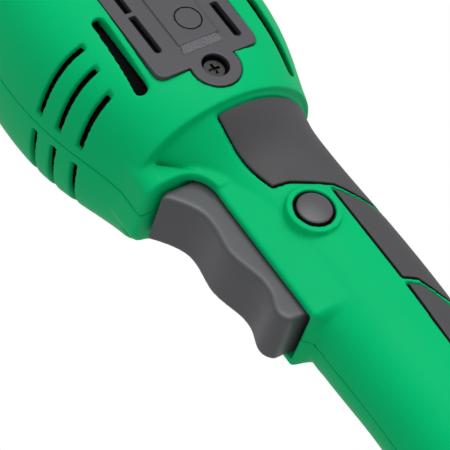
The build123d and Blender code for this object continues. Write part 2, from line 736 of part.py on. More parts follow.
motor_shaft_front_x = front_x - 16.0
motor_shaft_rear_x = rear_bearing_x + bearing_width
with BuildPart() as motor_shaft:
    add(motor_ring(motor_shaft_front_x, motor_shaft_rear_x, shaft_radius))
    chamfer(motor_shaft.edges().filter_by(GeomType.CIRCLE), 0.5)
finish(motor_shaft, "motor_shaft")


def bearing(start, direction, bore=shaft_radius, outer=bearing_radius, width=bearing_width):
    """Shielded ball bearing, as one piece with its shields set in a little."""
    plane = Plane(origin=start, z_dir=direction)
    with BuildPart(mode=Mode.PRIVATE) as race:
        with BuildSketch(plane):
            Circle(outer)
            Circle(bore + bearing_fit, mode=Mode.SUBTRACT)
        extrude(amount=width)
        chamfer(race.edges().filter_by(GeomType.CIRCLE), 0.3)
        for face_plane, way in ((plane, 1), (plane.offset(width), -1)):
            with BuildSketch(face_plane):
                Circle(outer - 2.2)
                Circle(bore + 1.8, mode=Mode.SUBTRACT)
            extrude(amount=way * 0.4, mode=Mode.SUBTRACT)
    return race.part


with BuildPart() as motor_bearings:
    add(bearing((rear_bearing_x, 0, motor_z), (1, 0, 0)))
    add(bearing((front_bearing_x, 0, motor_z), (1, 0, 0)))
finish(motor_bearings, "motor_bearings")

with BuildPart() as cooling_fan:
    add(motor_ring(fan_x - 4, fan_x + fan_width - 3, 8.0, shaft_radius))
    add(motor_ring(fan_x - 4, fan_x - 2, fan_radius, shaft_radius))
    with BuildSketch(across(fan_x - 2)):
        with PolarLocations((fan_radius + 12) / 2, fan_blades):
            Rectangle(fan_radius - 12, 1.2, rotation=18)
    extrude(amount=fan_width - 4)
finish(cooling_fan, "cooling_fan")

with BuildPart() as brush_holders:
    for way in (-1, 1):
        ends = sorted((way * (commutator_radius + 1.2), way * 35.0))
        with BuildPart(mode=Mode.PRIVATE) as holder_tube:
            add(box_between((brush_x - holder_half_x, ends[0], motor_z - holder_half_z),
                            (brush_x + holder_half_x, ends[1], motor_z + holder_half_z)))
            add(box_between((brush_x - brush_width / 2 - seat_gap, ends[0] - 1, motor_z - brush_height / 2 - seat_gap),
                            (brush_x + brush_width / 2 + seat_gap, ends[1] + 1, motor_z + brush_height / 2 + seat_gap)),
                mode=Mode.SUBTRACT)
        add(holder_tube.part)
finish(brush_holders, "brush_holders")

brush_end_y = 24.0
with BuildPart() as carbon_brushes:
    for way in (-1, 1):
        ends = sorted((way * (commutator_radius - 0.4), way * brush_end_y))
        with BuildPart(mode=Mode.PRIVATE) as brush:
            add(box_between((brush_x - brush_width / 2, ends[0], motor_z - brush_height / 2),
                            (brush_x + brush_width / 2, ends[1], motor_z + brush_height / 2)))
            add(motor_ring(commutator_x - 5, commutator_x + commutator_length + 5, commutator_radius + bearing_fit),
                mode=Mode.SUBTRACT)
        add(brush.part)
finish(carbon_brushes, "carbon_brushes")

with BuildPart() as brush_springs:
    for way in (-1, 1):
        add(coil((brush_x, way * brush_end_y, motor_z), (0, way, 0), cover_pocket_y - brush_end_y, 2.2, 0.35, 6))
finish(brush_springs, "brush_springs")

# ------------------------------------------------------------------ shaft collar, tube and drive rod
collar_radius = 19.0
clamp_slit = 2.0
clamp_ear_half = 12.0
clamp_ear_drop = 30.0
clamp_screw_z = motor_z - 23.5


def clamp_ears(start_x, end_x):
    """Block under a clamped neck, which its slit parts into two ears."""
    return box_between((start_x, -clamp_ear_half, motor_z - clamp_ear_drop), (end_x, clamp_ear_half, motor_z - 12))


def clamp_cuts(ear_start, ear_end, slit_start, slit_end):
    """Slit of a clamped neck and the bore of its screw."""
    middle = (ear_start + ear_end) / 2
    return [
        box_between((slit_start, -clamp_slit / 2, motor_z - 60), (slit_end, clamp_slit / 2, motor_z)),
        rod((middle, -60, clamp_screw_z), (middle, 60, clamp_screw_z), 2.55),
    ]


def clamp_screw(ear_start, ear_end):
    """Cross screw of a clamped neck."""
    middle = (ear_start + ear_end) / 2
    return screw((middle, clamp_ear_half, clamp_screw_z), (0, -1, 0), 2 * clamp_ear_half + 3, 2.5, 4.4, 4.0)


collar_ears = (collar_front_x + 3, collar_front_x + 19)
flange_head_room = 4.8
with BuildPart() as shaft_collar:
    add(motor_ring(front_x - collar_flange, front_x, collar_flange_radius))
    with BuildSketch(motor_section):
        with BuildLine():
            Polyline((front_x - collar_flange, 0), (front_x - collar_flange, collar_radius + 5),
                     (front_x - collar_flange - 8, collar_radius + 1), (collar_front_x + 3, collar_radius - 1),
                     (collar_front_x, collar_radius - 3), (collar_front_x, 0), close=True)
        make_face()
    revolve(axis=motor_axis)
    add(clamp_ears(*collar_ears))
    add([
        motor_ring(collar_front_x - 1, tube_rear_x, tube_radius + seat_gap),
        motor_ring(tube_rear_x - 1, front_x + 1, coupling_radius + 2),
        *clamp_cuts(*collar_ears, collar_front_x - 1, collar_front_x + 26),
        *[rod((x - 20, y, z), (x, y, z), flange_head_room) for x, y, z in flange_screw_places],
        *[rod((x - 1, y, z), (x + 20, y, z), flange_screw_radius + 0.1) for x, y, z in flange_screw_places],
    ], mode=Mode.SUBTRACT)
finish(shaft_collar, "shaft_collar")

tube_front_x = head_x + 62.0
with BuildPart() as shaft_tube:
    add(motor_ring(tube_front_x, tube_rear_x, tube_radius, tube_radius - tube_wall))
finish(shaft_tube, "shaft_tube")

with BuildPart() as shaft_bushes:
    for x in bush_stations:
        add(motor_ring(x, x + bush_length, tube_radius - tube_wall - seat_gap, rod_radius + seat_gap))
finish(shaft_bushes, "shaft_bushes")

coupling_front_x = motor_shaft_front_x + 11.0 - coupling_length
with BuildPart() as drive_coupling:
    add(motor_ring(coupling_front_x, coupling_front_x + coupling_length, coupling_radius, rod_radius + 0.02))
    add(motor_ring(motor_shaft_front_x, coupling_front_x + coupling_length + 1, shaft_radius + 0.02), mode=Mode.SUBTRACT)
    chamfer(drive_coupling.edges().filter_by(GeomType.CIRCLE).group_by(SortBy.RADIUS)[-1], 0.8)
finish(drive_coupling, "drive_coupling")

pinion_shaft_end = head_x + 62.0
sleeve_rear = head_x + 70.0
sleeve_front = head_x + 50.0
with BuildPart() as drive_rod:
    add(motor_ring(pinion_shaft_end + 1, motor_shaft_front_x - 0.5, rod_radius))
    add(motor_ring(sleeve_front, sleeve_rear, 6.5))
    add(motor_ring(sleeve_front - 1, pinion_shaft_end + 0.3, shaft_radius + 0.02), mode=Mode.SUBTRACT)
finish(drive_rod, "drive_rod")

# ------------------------------------------------------------------ loop handle and its clamp
clamp_length = 32.0
clamp_outer = 20.0
clamp_flange_reach = 29.0
clamp_flange_thickness = 6.0
clamp_parting = 0.4         # half the gap between the clamp's halves
pivot_z = motor_z + 38.0
cheek_inner = 8.0
cheek_outer = 14.0
pivot_radius = 10.0
loop_base_z = pivot_z + 25.0
bolt_radius = 3.5


def clamp_half(way):
    """One half of the clamp on the shaft tube, above it for way 1 and below it for way -1."""
    edge = sorted((motor_z + way * clamp_parting, motor_z + way * (clamp_parting + clamp_flange_thickness)))
    with BuildPart(mode=Mode.PRIVATE) as half:
        add(motor_ring(loop_x - clamp_length / 2, loop_x + clamp_length / 2, clamp_outer))
        cut_low, cut_high = sorted((motor_z + way * clamp_parting, motor_z - way * 60))
        add(box_between((loop_x - clamp_length, -60, cut_low), (loop_x + clamp_length, 60, cut_high)), mode=Mode.SUBTRACT)
        add(box_between((loop_x - clamp_length / 2, -clamp_flange_reach, edge[0]),
                        (loop_x + clamp_length / 2, clamp_flange_reach, edge[1])))
        fillet(half.edges().filter_by(Axis.Z).group_by(Axis.Y)[0], 4)
        fillet(half.edges().filter_by(Axis.Z).group_by(Axis.Y)[-1], 4)
    return half.part


clamp_screw_places = [(loop_x + x, y) for x in (-9.5, 9.5) for y in (-24.5, 24.5)]
clamp_bores = [motor_ring(loop_x - clamp_length, loop_x + clamp_length, tube_radius + seat_gap)]
clamp_bores.extend(rod((x, y, motor_z - 30), (x, y, motor_z + 30), 2.3) for x, y in clamp_screw_places)

with BuildPart() as loop_clamp_lower:
    add(clamp_half(-1))
    add(clamp_bores, mode=Mode.SUBTRACT)
finish(loop_clamp_lower, "loop_clamp_lower")

with BuildPart() as loop_clamp_upper:
    add(clamp_half(1))
    for way in (-1, 1):
        with BuildSketch(side(way * cheek_outer)):
            with Locations((loop_x, pivot_z)):
                Circle(pivot_radius)
            with BuildLine():
                Polyline((loop_x - pivot_radius, pivot_z), (loop_x - 14, motor_z + 12), (loop_x + 14, motor_z + 12),
                         (loop_x + pivot_radius, pivot_z), close=True)
            make_face()
        extrude(amount=way * (cheek_outer - cheek_inner))
    add([*clamp_bores, rod((loop_x, -40, pivot_z), (loop_x, 40, pivot_z), bolt_radius + seat_gap)], mode=Mode.SUBTRACT)
finish(loop_clamp_upper, "loop_clamp_upper")

with BuildPart() as clamp_screws:
    # four in the collar's flange, one across its slit and four in the loop handle's clamp
    for place in flange_screw_places:
        add(screw(place, (1, 0, 0), collar_flange + flange_screw_bite, flange_screw_radius, 4.0, 3.0))
    add(clamp_screw(*collar_ears))
    for x, y in clamp_screw_places:
        seat = (x, y, motor_z + clamp_flange_thickness + clamp_parting)
        add(screw(seat, (0, 0, -1), 2 * clamp_flange_thickness + 3, 2.25, 4.0, 3.2))
finish(clamp_screws, "clamp_screws")

with BuildPart() as loop_handle:
    with BuildLine() as loop_path:
        with BuildSketch(Plane(origin=(loop_x, 0, loop_base_z + loop_height / 2), x_dir=(0, 1, 0), z_dir=(1, 0, 0)),
                         mode=Mode.PRIVATE) as loop_frame:
            RectangleRounded(loop_width, loop_height, loop_corner)
        add(loop_frame.sketch.face().outer_wire())
    with BuildSketch(Plane(origin=loop_path.line @ 0, z_dir=loop_path.line % 0)):
        Circle(loop_bar_radius)
    sweep(path=loop_path.line)
    # lug that stands in the clamp's fork
    add(rod((loop_x, -cheek_inner + running_gap, pivot_z), (loop_x, cheek_inner - running_gap, pivot_z), pivot_radius))
    add(box_between((loop_x - 7, -cheek_inner + running_gap, pivot_z), (loop_x + 7, cheek_inner - running_gap, loop_base_z)))
    add(rod((loop_x, -20, pivot_z), (loop_x, 20, pivot_z), bolt_radius + seat_gap), mode=Mode.SUBTRACT)
finish(loop_handle, "loop_handle")

knob_start_y = cheek_outer + running_gap
knob_hub_radius = 8.0
knob_radius = 10.5
knob_lobe_radius = 3.3
with BuildPart() as loop_bolt:
    with BuildSketch(side(-cheek_outer)):
        with Locations((loop_x, pivot_z)):
            RegularPolygon(6.5, 6)
    extrude(amount=4.5)
    add(rod((loop_x, -cheek_outer, pivot_z), (loop_x, knob_start_y + 12, pivot_z), bolt_radius))
finish(loop_bolt, "loop_bolt")

with BuildPart() as loop_knob:
    add(rod((loop_x, knob_start_y, pivot_z), (loop_x, knob_start_y + 6, pivot_z), knob_hub_radius))
    with BuildSketch(side(knob_start_y + 4)):
        with Locations((loop_x, pivot_z)):
            Circle(knob_radius)
            with PolarLocations(knob_radius + 1.0, 6):
                Circle(knob_lobe_radius)
    extrude(amount=-14)
    fillet(loop_knob.edges().group_by(Axis.Y)[-1], 1.5)
    add(rod((loop_x, 0, pivot_z), (loop_x, knob_start_y + 12.2, pivot_z), bolt_radius + seat_gap), mode=Mode.SUBTRACT)
finish(loop_knob, "loop_knob")

strap_x = -300.0
strap_eye_radius = 6.0
strap_eye_thickness = 5.0
strap_eye_z = motor_z + tube_radius + 17.0
with BuildPart() as strap_ring:
    add(motor_ring(strap_x - 8, strap_x + 8, tube_radius + 3.0))
    with BuildSketch(side(strap_eye_thickness / 2)):
        with Locations((strap_x, strap_eye_z)):
            Circle(strap_eye_radius + 4.5)
        with Locations((strap_x, (motor_z + strap_eye_z) / 2)):
            Rectangle(15.0, strap_eye_z - motor_z)
    extrude(amount=strap_eye_thickness)
    add([motor_ring(strap_x - 20, strap_x + 20, tube_radius + seat_gap),
         rod((strap_x, -10, strap_eye_z), (strap_x, 10, strap_eye_z), strap_eye_radius)], mode=Mode.SUBTRACT)
finish(strap_ring, "strap_ring")

# ------------------------------------------------------------------ bevel gears
gear_ratio = gear_teeth / pinion_teeth
pinion_cone = atan2(sin(tilt), gear_ratio + cos(tilt))
gear_cone = tilt - pinion_cone
tooth_module = 2 * cone_distance * sin(pinion_cone) / pinion_teeth
addendum = 0.75 * tooth_module
dedendum = 1.15 * tooth_module
pressure_angle = radians(20)


def involute(radius, base_radius):
    """Involute angle at a radius."""
    reach = sqrt(max(radius ** 2 - base_radius ** 2, 0))
    return reach / base_radius - atan2(reach, base_radius)


def tooth_outline(scale, cone):
    """Involute tooth on the back cone, drawn across x and outward along y from the pitch point."""
    pitch_radius = cone_distance * tan(cone)
    base_radius = pitch_radius * cos(pressure_angle)
    quarter = pi * tooth_module * (1 - tooth_backlash) / 4 / pitch_radius
    root_radius = max(base_radius, pitch_radius - dedendum)
    flank = []
    for share in (0.0, 0.35, 0.7, 1.0):
        radius = root_radius * (1 - share) + (pitch_radius + addendum) * share
        half_angle = quarter + involute(pitch_radius, base_radius) - involute(radius, base_radius)
        flank.append((radius * sin(half_angle) * scale, (radius * cos(half_angle) - pitch_radius) * scale))
    right = [(flank[0][0], (-dedendum - 0.8) * scale), *flank]
    return right + [(-x, y) for x, y in reversed(right)]


def bevel_gear(axis_way, first_turn, teeth, cone, bore, back):
    """Straight bevel gear whose axis leaves the common point along axis_way, with a hub out to back."""
    frame = Plane(origin=head_origin, x_dir=(0, 1, 0), z_dir=axis_way)
    turn_axis = Axis(head_origin, axis_way)
    outer = cone_distance
    inner = cone_distance - face_width
    root_angle = cone - atan2(dedendum, cone_distance)
    back_height = outer * cos(cone) + dedendum * sin(cone)
    along_cone = frame.z_dir * cos(cone) + frame.y_dir * sin(cone)
    with BuildPart(mode=Mode.PRIVATE) as tooth:
        for distance in (outer, inner):
            with BuildSketch(Plane(origin=head_origin + along_cone * distance, x_dir=frame.x_dir, z_dir=along_cone)):
                with BuildLine():
                    Polyline(*tooth_outline(distance / outer, cone), close=True)
                make_face()
        loft(ruled=True)
    with BuildPart(mode=Mode.PRIVATE) as gear:
        with BuildSketch(Plane(origin=head_origin, x_dir=frame.y_dir, z_dir=frame.x_dir)):
            with BuildLine():
                Polyline((0, inner * cos(root_angle)), (inner * sin(root_angle), inner * cos(root_angle)),
                         (outer * sin(root_angle), outer * cos(root_angle)),
                         (outer * sin(root_angle), back_height + 0.5), (bore + 3, back_height + 0.5),
                         (bore + 3, back), (0, back), close=True)
            make_face()
        revolve(axis=turn_axis)
        add([tooth.part.rotate(turn_axis, first_turn + 360 * step / teeth) for step in range(teeth)])
        if bore:
            add(rod(head_origin, head_origin + frame.z_dir * 80, bore), mode=Mode.SUBTRACT)
    return gear.part


pinion_back = 31.0
with BuildPart() as pinion:
    add(bevel_gear((1, 0, 0), 0, pinion_teeth, pinion_cone, 0, pinion_back))
    add(motor_ring(head_x + pinion_back - 1, pinion_shaft_end, shaft_radius))
finish(pinion, "pinion")

gear_back = 30.0
with BuildPart() as driven_gear:
    add(bevel_gear(tuple(head_up), 180 / gear_teeth, gear_teeth, gear_cone, shaft_radius + 0.02, gear_back))
finish(driven_gear, "bevel_gear")

# ------------------------------------------------------------------ gear head
case_radius = 20.0
case_bore = 15.6
flange_radius = 30.0
case_flange = (-17.0, -12.0)
carrier_low = -28.0
upper_bearing_w = -12.0
lower_bearing_w = -27.0
head_screw_circle = 24.5
neck_end_x = head_x + 104.0
pinion_bearing_stations = (head_x + 31.5, head_x + 39.5)
neck_ears = (neck_end_x - 22, neck_end_x - 6)
guard_top_w = -22.0


def on_head(radius, turn, height):
    """Point about the head's axis: its radius, its turn from the tool's back and its height."""
    return head_ground.from_local_coords((radius * cos(turn), radius * sin(turn), height))


head_screw_turns = [pi / 4 + step * pi / 2 for step in range(4)]
with BuildPart() as gear_case:
    with BuildSketch(head_section):
        with BuildLine():
            Polyline((0, case_flange[0]), (flange_radius, case_flange[0]), (flange_radius, case_flange[1]),
                     (case_radius + 1, case_flange[1] + 2), (case_radius, 24))
            RadiusArc((case_radius, 24), (case_radius - 9, 33), -9)
            Polyline((case_radius - 9, 33), (0, 33), (0, case_flange[0]))
        make_face()
    revolve(axis=head_axis)
    add(motor_ring(head_x, neck_end_x, 18.5))
    add(clamp_ears(*neck_ears))
    with Locations(head_origin):
        Sphere(24.0)
    add([box_between((head_x - 60, -60, -120), (head_x + 60, 60, 60)) - head_ring(case_flange[0], 60, 80)],
        mode=Mode.SUBTRACT)
    add([
        head_ring(case_flange[0] - 1, gear_back + 0.6, case_bore),
        motor_ring(head_x, head_x + pinion_bearing_stations[0] - head_x, 12.4),
        motor_ring(pinion_bearing_stations[0], pinion_bearing_stations[1] + bearing_width, bearing_radius + seat_gap),
        motor_ring(pinion_bearing_stations[1], tube_front_x + 1, tube_radius - 2.5),
        motor_ring(tube_front_x, neck_end_x + 1, tube_radius + seat_gap),
        *clamp_cuts(*neck_ears, neck_end_x - 32, neck_end_x + 1),
        *[rod(on_head(head_screw_circle, turn, -30), on_head(head_screw_circle, turn, 0), 2.55) for turn in head_screw_turns],
    ], mode=Mode.SUBTRACT)
finish(gear_case, "gear_case")

with BuildPart() as bearing_carrier:
    add(head_ring(guard_top_w, case_flange[0], flange_radius))
    add(head_ring(carrier_low, guard_top_w, 16.0))
    add(head_ring(case_flange[0], -4.0, case_bore - seat_gap))
    add([
        head_ring(-40, 10, 6.5),
        head_ring(upper_bearing_w, 0, bearing_radius + seat_gap),
        head_ring(lower_bearing_w, lower_bearing_w + bearing_width, bearing_radius + seat_gap),
        *[rod(on_head(head_screw_circle, turn, -30), on_head(head_screw_circle, turn, 0), 2.7) for turn in head_screw_turns],
    ], mode=Mode.SUBTRACT)
finish(bearing_carrier, "bearing_carrier")

with BuildPart() as head_bearings:
    for x in pinion_bearing_stations:
        add(bearing((x, 0, motor_z), (1, 0, 0)))
    for height in (lower_bearing_w, upper_bearing_w):
        add(bearing(head_origin + head_up * height, head_up))
finish(head_bearings, "head_bearings")

spool_top_w = -33.0
spool_bottom_w = -64.0
spindle_low_w = -51.0
with BuildPart() as head_spindle:
    add(head_ring(spindle_low_w, gear_back - 0.4, shaft_radius))
    # collar between the two bearings
    add(head_ring(lower_bearing_w + bearing_width + 0.1, upper_bearing_w - 0.1, 6.0))
finish(head_spindle, "head_spindle")

# ------------------------------------------------------------------ guard and line cutter
guard_half_angle = radians(guard_angle / 2)
guard_low_w = guard_top_w - guard_plate - guard_skirt


def guard_sector(outer, inner, start_w, end_w):
    """Ring sector of the guard, centred on the back of the head."""
    far = 2 * outer
    with BuildPart(mode=Mode.PRIVATE) as sector:
        with BuildSketch(head_ground.offset(start_w)):
            Circle(outer)
            if inner:
                Circle(inner, mode=Mode.SUBTRACT)
            with BuildLine():
                Polyline((0, 0), (far * cos(guard_half_angle), far * sin(guard_half_angle)), (far, far), (far, -far),
                         (far * cos(guard_half_angle), -far * sin(guard_half_angle)), close=True)
            make_face(mode=Mode.INTERSECT)
        extrude(amount=end_w - start_w)
    return sector.part


cutter_plane = Plane(origin=head_origin, x_dir=on_head(1, -guard_half_angle, 0) - head_origin, z_dir=head_up)
cutter_w = -49.0
cutter_thickness = 1.6
with BuildPart() as guard:
    add(guard_sector(guard_radius, 0, guard_top_w - guard_plate, guard_top_w))
    add(head_ring(guard_top_w - guard_plate, guard_top_w, 36.0))
    add(guard_sector(guard_radius, guard_radius - guard_plate, guard_low_w, guard_top_w))
    # stiffening ribs under the plate
    for turn in (-40, 0, 40):
        rib_plane = Plane(origin=head_origin, x_dir=on_head(1, radians(turn), 0) - head_origin, z_dir=head_up)
        with BuildSketch(rib_plane.offset(guard_top_w)):
            with Locations(((guard_radius + 32) / 2, 0)):
                Rectangle(guard_radius - 34, 3.0)
        extrude(amount=4.0)
    # tab that carries the line cutter
    with BuildSketch(cutter_plane.offset(cutter_w - 9)):
        with Locations((guard_radius - guard_plate / 2 + 9, 2.75)):
            Rectangle(18.0, 5.5)
    extrude(amount=18)
    add([
        head_ring(-40, 0, 16.0 + seat_gap),
        *[rod(on_head(head_screw_circle, turn, -40), on_head(head_screw_circle, turn, 0), 2.7) for turn in head_screw_turns],
    ], mode=Mode.SUBTRACT)
    cutter_bores = [(cutter_plane.from_local_coords((guard_radius + 9, -5, cutter_w + step)),
                     cutter_plane.from_local_coords((guard_radius + 9, 7, cutter_w + step))) for step in (-5, 5)]
    add([rod(start, end, 1.55) for start, end in cutter_bores], mode=Mode.SUBTRACT)
finish(guard, "guard")

with BuildPart() as line_cutter:
    with BuildSketch(Plane(origin=cutter_plane.from_local_coords((0, 0, cutter_w)),
                           x_dir=cutter_plane.x_dir, z_dir=-cutter_plane.y_dir)):
        with BuildLine():
            Polyline((cut_radius - 2.5, 6.0), (cut_radius + 2, 8.0), (guard_radius + 15, 8.0), (guard_radius + 15, -8.0),
                     (cut_radius + 2, -8.0), (cut_radius - 2.5, -6.0), close=True)
        make_face()
    extrude(amount=cutter_thickness)
    add([rod(start, end, 1.6) for start, end in cutter_bores], mode=Mode.SUBTRACT)
finish(line_cutter, "line_cutter")

with BuildPart() as guard_screws:
    # four through the guard into the gear case, and two in the line cutter
    for turn in head_screw_turns:
        seat = on_head(head_screw_circle, turn, guard_top_w - guard_plate)
        add(screw(seat, tuple(head_up), 14.0, 2.5, 4.4, 3.4))
    for step in (-5, 5):
        seat = cutter_plane.from_local_coords((guard_radius + 9, -cutter_thickness, cutter_w + step))
        add(screw(seat, tuple(cutter_plane.y_dir), 6.0, 1.5, 2.8, 2.0))
finish(guard_screws, "guard_screws")

# ------------------------------------------------------------------ bump-feed cutting head
line_w = -49.0
with BuildPart() as spool_case:
    with BuildSketch(head_section):
        with BuildLine():
            Polyline((0, spool_top_w), (34, spool_top_w), (spool_case_radius - 4, spool_top_w - 4),
                     (spool_case_radius, spool_top_w - 12), (spool_case_radius, spool_bottom_w + 3),
                     (spool_case_radius - 3, spool_bottom_w + 3), (spool_case_radius - 3, spool_top_w - 11),
                     (spool_case_radius - 7, spool_top_w - 6), (33, spool_top_w - 3.5), (9, spool_top_w - 3.5),
                     (9, spindle_low_w + 4), (0, spindle_low_w + 4), close=True)
        make_face()
    revolve(axis=head_axis)
    add([
        rod(head_origin + head_up * -100, head_origin + head_up * 0, shaft_radius + 0.02),
        *[rod(on_head(0, 0, line_w) + Vector(0, way * 30, 0), on_head(0, 0, line_w) + Vector(0, way * 60, 0), 3.55)
          for way in (-1, 1)],
    ], mode=Mode.SUBTRACT)
finish(spool_case, "spool_case")

with BuildPart() as line_eyelets:
    for way in (-1, 1):
        with BuildPart(mode=Mode.PRIVATE) as eyelet:
            place = on_head(0, 0, line_w)
            add(rod(place + Vector(0, way * (spool_case_radius - 3.6), 0), place + Vector(0, way * (spool_case_radius + 2), 0), 3.5))
            add(rod(place + Vector(0, way * (spool_case_radius + 0.3), 0), place + Vector(0, way * (spool_case_radius + 2), 0), 5.0))
            add(rod(place, place + Vector(0, way * (spool_case_radius + 9), 0), 1.9), mode=Mode.SUBTRACT)
        add(eyelet.part)
finish(line_eyelets, "line_eyelets")

with BuildPart() as line_spool:
    with BuildSketch(head_section):
        with BuildLine():
            Polyline((9.3, -40), (41, -40), (41, -42), (16, -42), (16, -57), (41, -57), (41, -59), (12, -59), (12, -47.8),
                     (9.3, -47.8), close=True)
        make_face()
    revolve(axis=head_axis)
finish(line_spool, "line_spool")

with BuildPart() as cutting_line:
    add(head_ring(-56.7, -42.3, 33.0, 16.3))
    place = on_head(0, 0, line_w)
    for way in (-1, 1):
        add(rod(place + Vector(0, way * 30, 0), place + Vector(0, way * (cut_radius - 4), 0), line_radius))
finish(cutting_line, "cutting_line")

knob_stem_radius = 10.0
knob_top_w = spool_bottom_w - bump_travel - 0.6
knob_low_w = knob_top_w - 15.0
with BuildPart() as spool_cover:
    add(head_ring(spool_bottom_w, spool_bottom_w + 3, spool_case_radius, knob_stem_radius + running_gap))
    add(head_ring(spool_bottom_w + 3, spool_bottom_w + 6, spool_case_radius - 3.1, spool_case_radius - 5.1))
finish(spool_cover, "spool_cover")

with BuildPart() as bump_knob:
    with BuildSketch(head_section):
        with BuildLine():
            Polyline((0, knob_low_w), (20, knob_low_w))
            RadiusArc((20, knob_low_w), (34, knob_top_w - 3), -26)
            Polyline((34, knob_top_w - 3), (34, knob_top_w), (knob_stem_radius, knob_top_w), (knob_stem_radius, -60.4 + 2),
                     (6.9, -58.4), (6.9, knob_top_w + 2), (0, knob_top_w + 2), (0, knob_low_w))
        make_face()
    revolve(axis=head_axis)
finish(bump_knob, "bump_knob")

with BuildPart() as bump_spring:
    add(coil(head_origin + head_up * (knob_top_w + 2), tuple(head_up), spindle_low_w - knob_top_w - 2, 5.6, 0.6, 5))
finish(bump_spring, "bump_spring")
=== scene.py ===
import json
import math

import bmesh
import bpy
import numpy as np
from mathutils import Matrix, Vector

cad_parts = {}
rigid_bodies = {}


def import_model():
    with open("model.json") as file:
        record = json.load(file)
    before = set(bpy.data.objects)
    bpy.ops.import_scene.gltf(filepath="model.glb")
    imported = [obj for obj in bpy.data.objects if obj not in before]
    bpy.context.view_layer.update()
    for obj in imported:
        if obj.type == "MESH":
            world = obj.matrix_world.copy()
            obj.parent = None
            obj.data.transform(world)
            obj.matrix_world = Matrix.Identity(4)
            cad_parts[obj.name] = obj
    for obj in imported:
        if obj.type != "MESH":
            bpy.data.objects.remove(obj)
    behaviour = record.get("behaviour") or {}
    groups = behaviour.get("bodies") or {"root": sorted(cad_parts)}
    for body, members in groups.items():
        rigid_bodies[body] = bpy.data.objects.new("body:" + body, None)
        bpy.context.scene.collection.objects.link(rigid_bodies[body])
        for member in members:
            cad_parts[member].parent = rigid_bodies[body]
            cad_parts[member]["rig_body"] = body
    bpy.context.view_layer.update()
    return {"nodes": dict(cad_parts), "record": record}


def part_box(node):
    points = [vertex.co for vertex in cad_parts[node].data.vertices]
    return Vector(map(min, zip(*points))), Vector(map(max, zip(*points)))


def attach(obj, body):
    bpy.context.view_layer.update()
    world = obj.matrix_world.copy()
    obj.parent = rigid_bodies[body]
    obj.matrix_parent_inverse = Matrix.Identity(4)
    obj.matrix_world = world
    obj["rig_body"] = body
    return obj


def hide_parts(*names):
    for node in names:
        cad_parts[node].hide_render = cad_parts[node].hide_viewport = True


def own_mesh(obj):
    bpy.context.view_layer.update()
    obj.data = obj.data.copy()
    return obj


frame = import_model()
nodes = frame["nodes"]
slot_of = {part["node"]: part["material_slot"] for part in frame["record"]["subparts"]}
MM = 0.001
MOTOR_Z = -13 * MM      # axis of the motor and the shaft
HEAD_X = -1165 * MM     # where the shaft's axis meets the cutting head's
SIDES = (("left", -1), ("right", 1))    # side of the tool and the way it faces along Y


# ---------------------------------------------------------------- viewpoint and studio
def place_camera():
    """Camera behind, left of and below the grip, with the tool's nose up and to the left."""
    right = Vector((0.5598, -0.2277, 0.7967))
    up = Vector((-0.7338, -0.5829, 0.3490))
    back = Vector((0.3849, -0.7800, -0.4934))
    stand = Vector((0.2796, -0.6051, -0.4073))
    lens = bpy.data.cameras.new("viewpoint")
    lens.sensor_width = 36.0
    lens.lens = 179.35
    lens.clip_start = 0.02
    lens.clip_end = 60.0
    camera = bpy.data.objects.new("viewpoint", lens)
    turn = Matrix((right, up, back)).transposed().to_4x4()
    camera.matrix_world = Matrix.Translation(stand) @ turn
    bpy.context.scene.collection.objects.link(camera)
    bpy.context.scene.camera = camera
    return right, up, back


def soft_light(name, direction, distance, size, power):
    """Large square light that faces the grip from one direction."""
    grip = Vector((-0.06, 0.0, -0.01))
    light = bpy.data.lights.new(name, "AREA")
    light.size = size
    light.energy = power
    lamp = bpy.data.objects.new(name, light)
    way = Vector(direction).normalized()
    turn = way.to_track_quat("Z", "Y").to_matrix().to_4x4()
    lamp.matrix_world = Matrix.Translation(grip + way * distance) @ turn
    bpy.context.scene.collection.objects.link(lamp)


def light_studio(right, up, back):
    """Even white surroundings, a broad key light over the tool and a weak fill."""
    soft_light("key", up * 0.8 + right * 0.35 + back * 0.75, distance=1.6, size=1.1, power=15.5)
    soft_light("fill", back * 0.9 - right * 0.8 + up * 0.1, distance=1.8, size=1.4, power=6.3)
    white, shed, shown = (1, 1, 1, 1), 0.70, 1.0
    world = bpy.data.worlds.new("studio")
    bpy.context.scene.world = world
    world.use_nodes = True
    tree = world.node_tree
    around = tree.nodes["Background"]
    around.inputs["Color"].default_value = white
    around.inputs["Strength"].default_value = shed
    backdrop = tree.nodes.new("ShaderNodeBackground")
    backdrop.inputs["Color"].default_value = white
    backdrop.inputs["Strength"].default_value = shown
    path = tree.nodes.new("ShaderNodeLightPath")
    mix = tree.nodes.new("ShaderNodeMixShader")
    tree.links.new(path.outputs["Is Camera Ray"], mix.inputs[0])
    tree.links.new(around.outputs[0], mix.inputs[1])
    tree.links.new(backdrop.outputs[0], mix.inputs[2])
    tree.links.new(mix.outputs[0], tree.nodes["World Output"].inputs["Surface"])
    bpy.context.scene.view_settings.view_transform = "Standard"


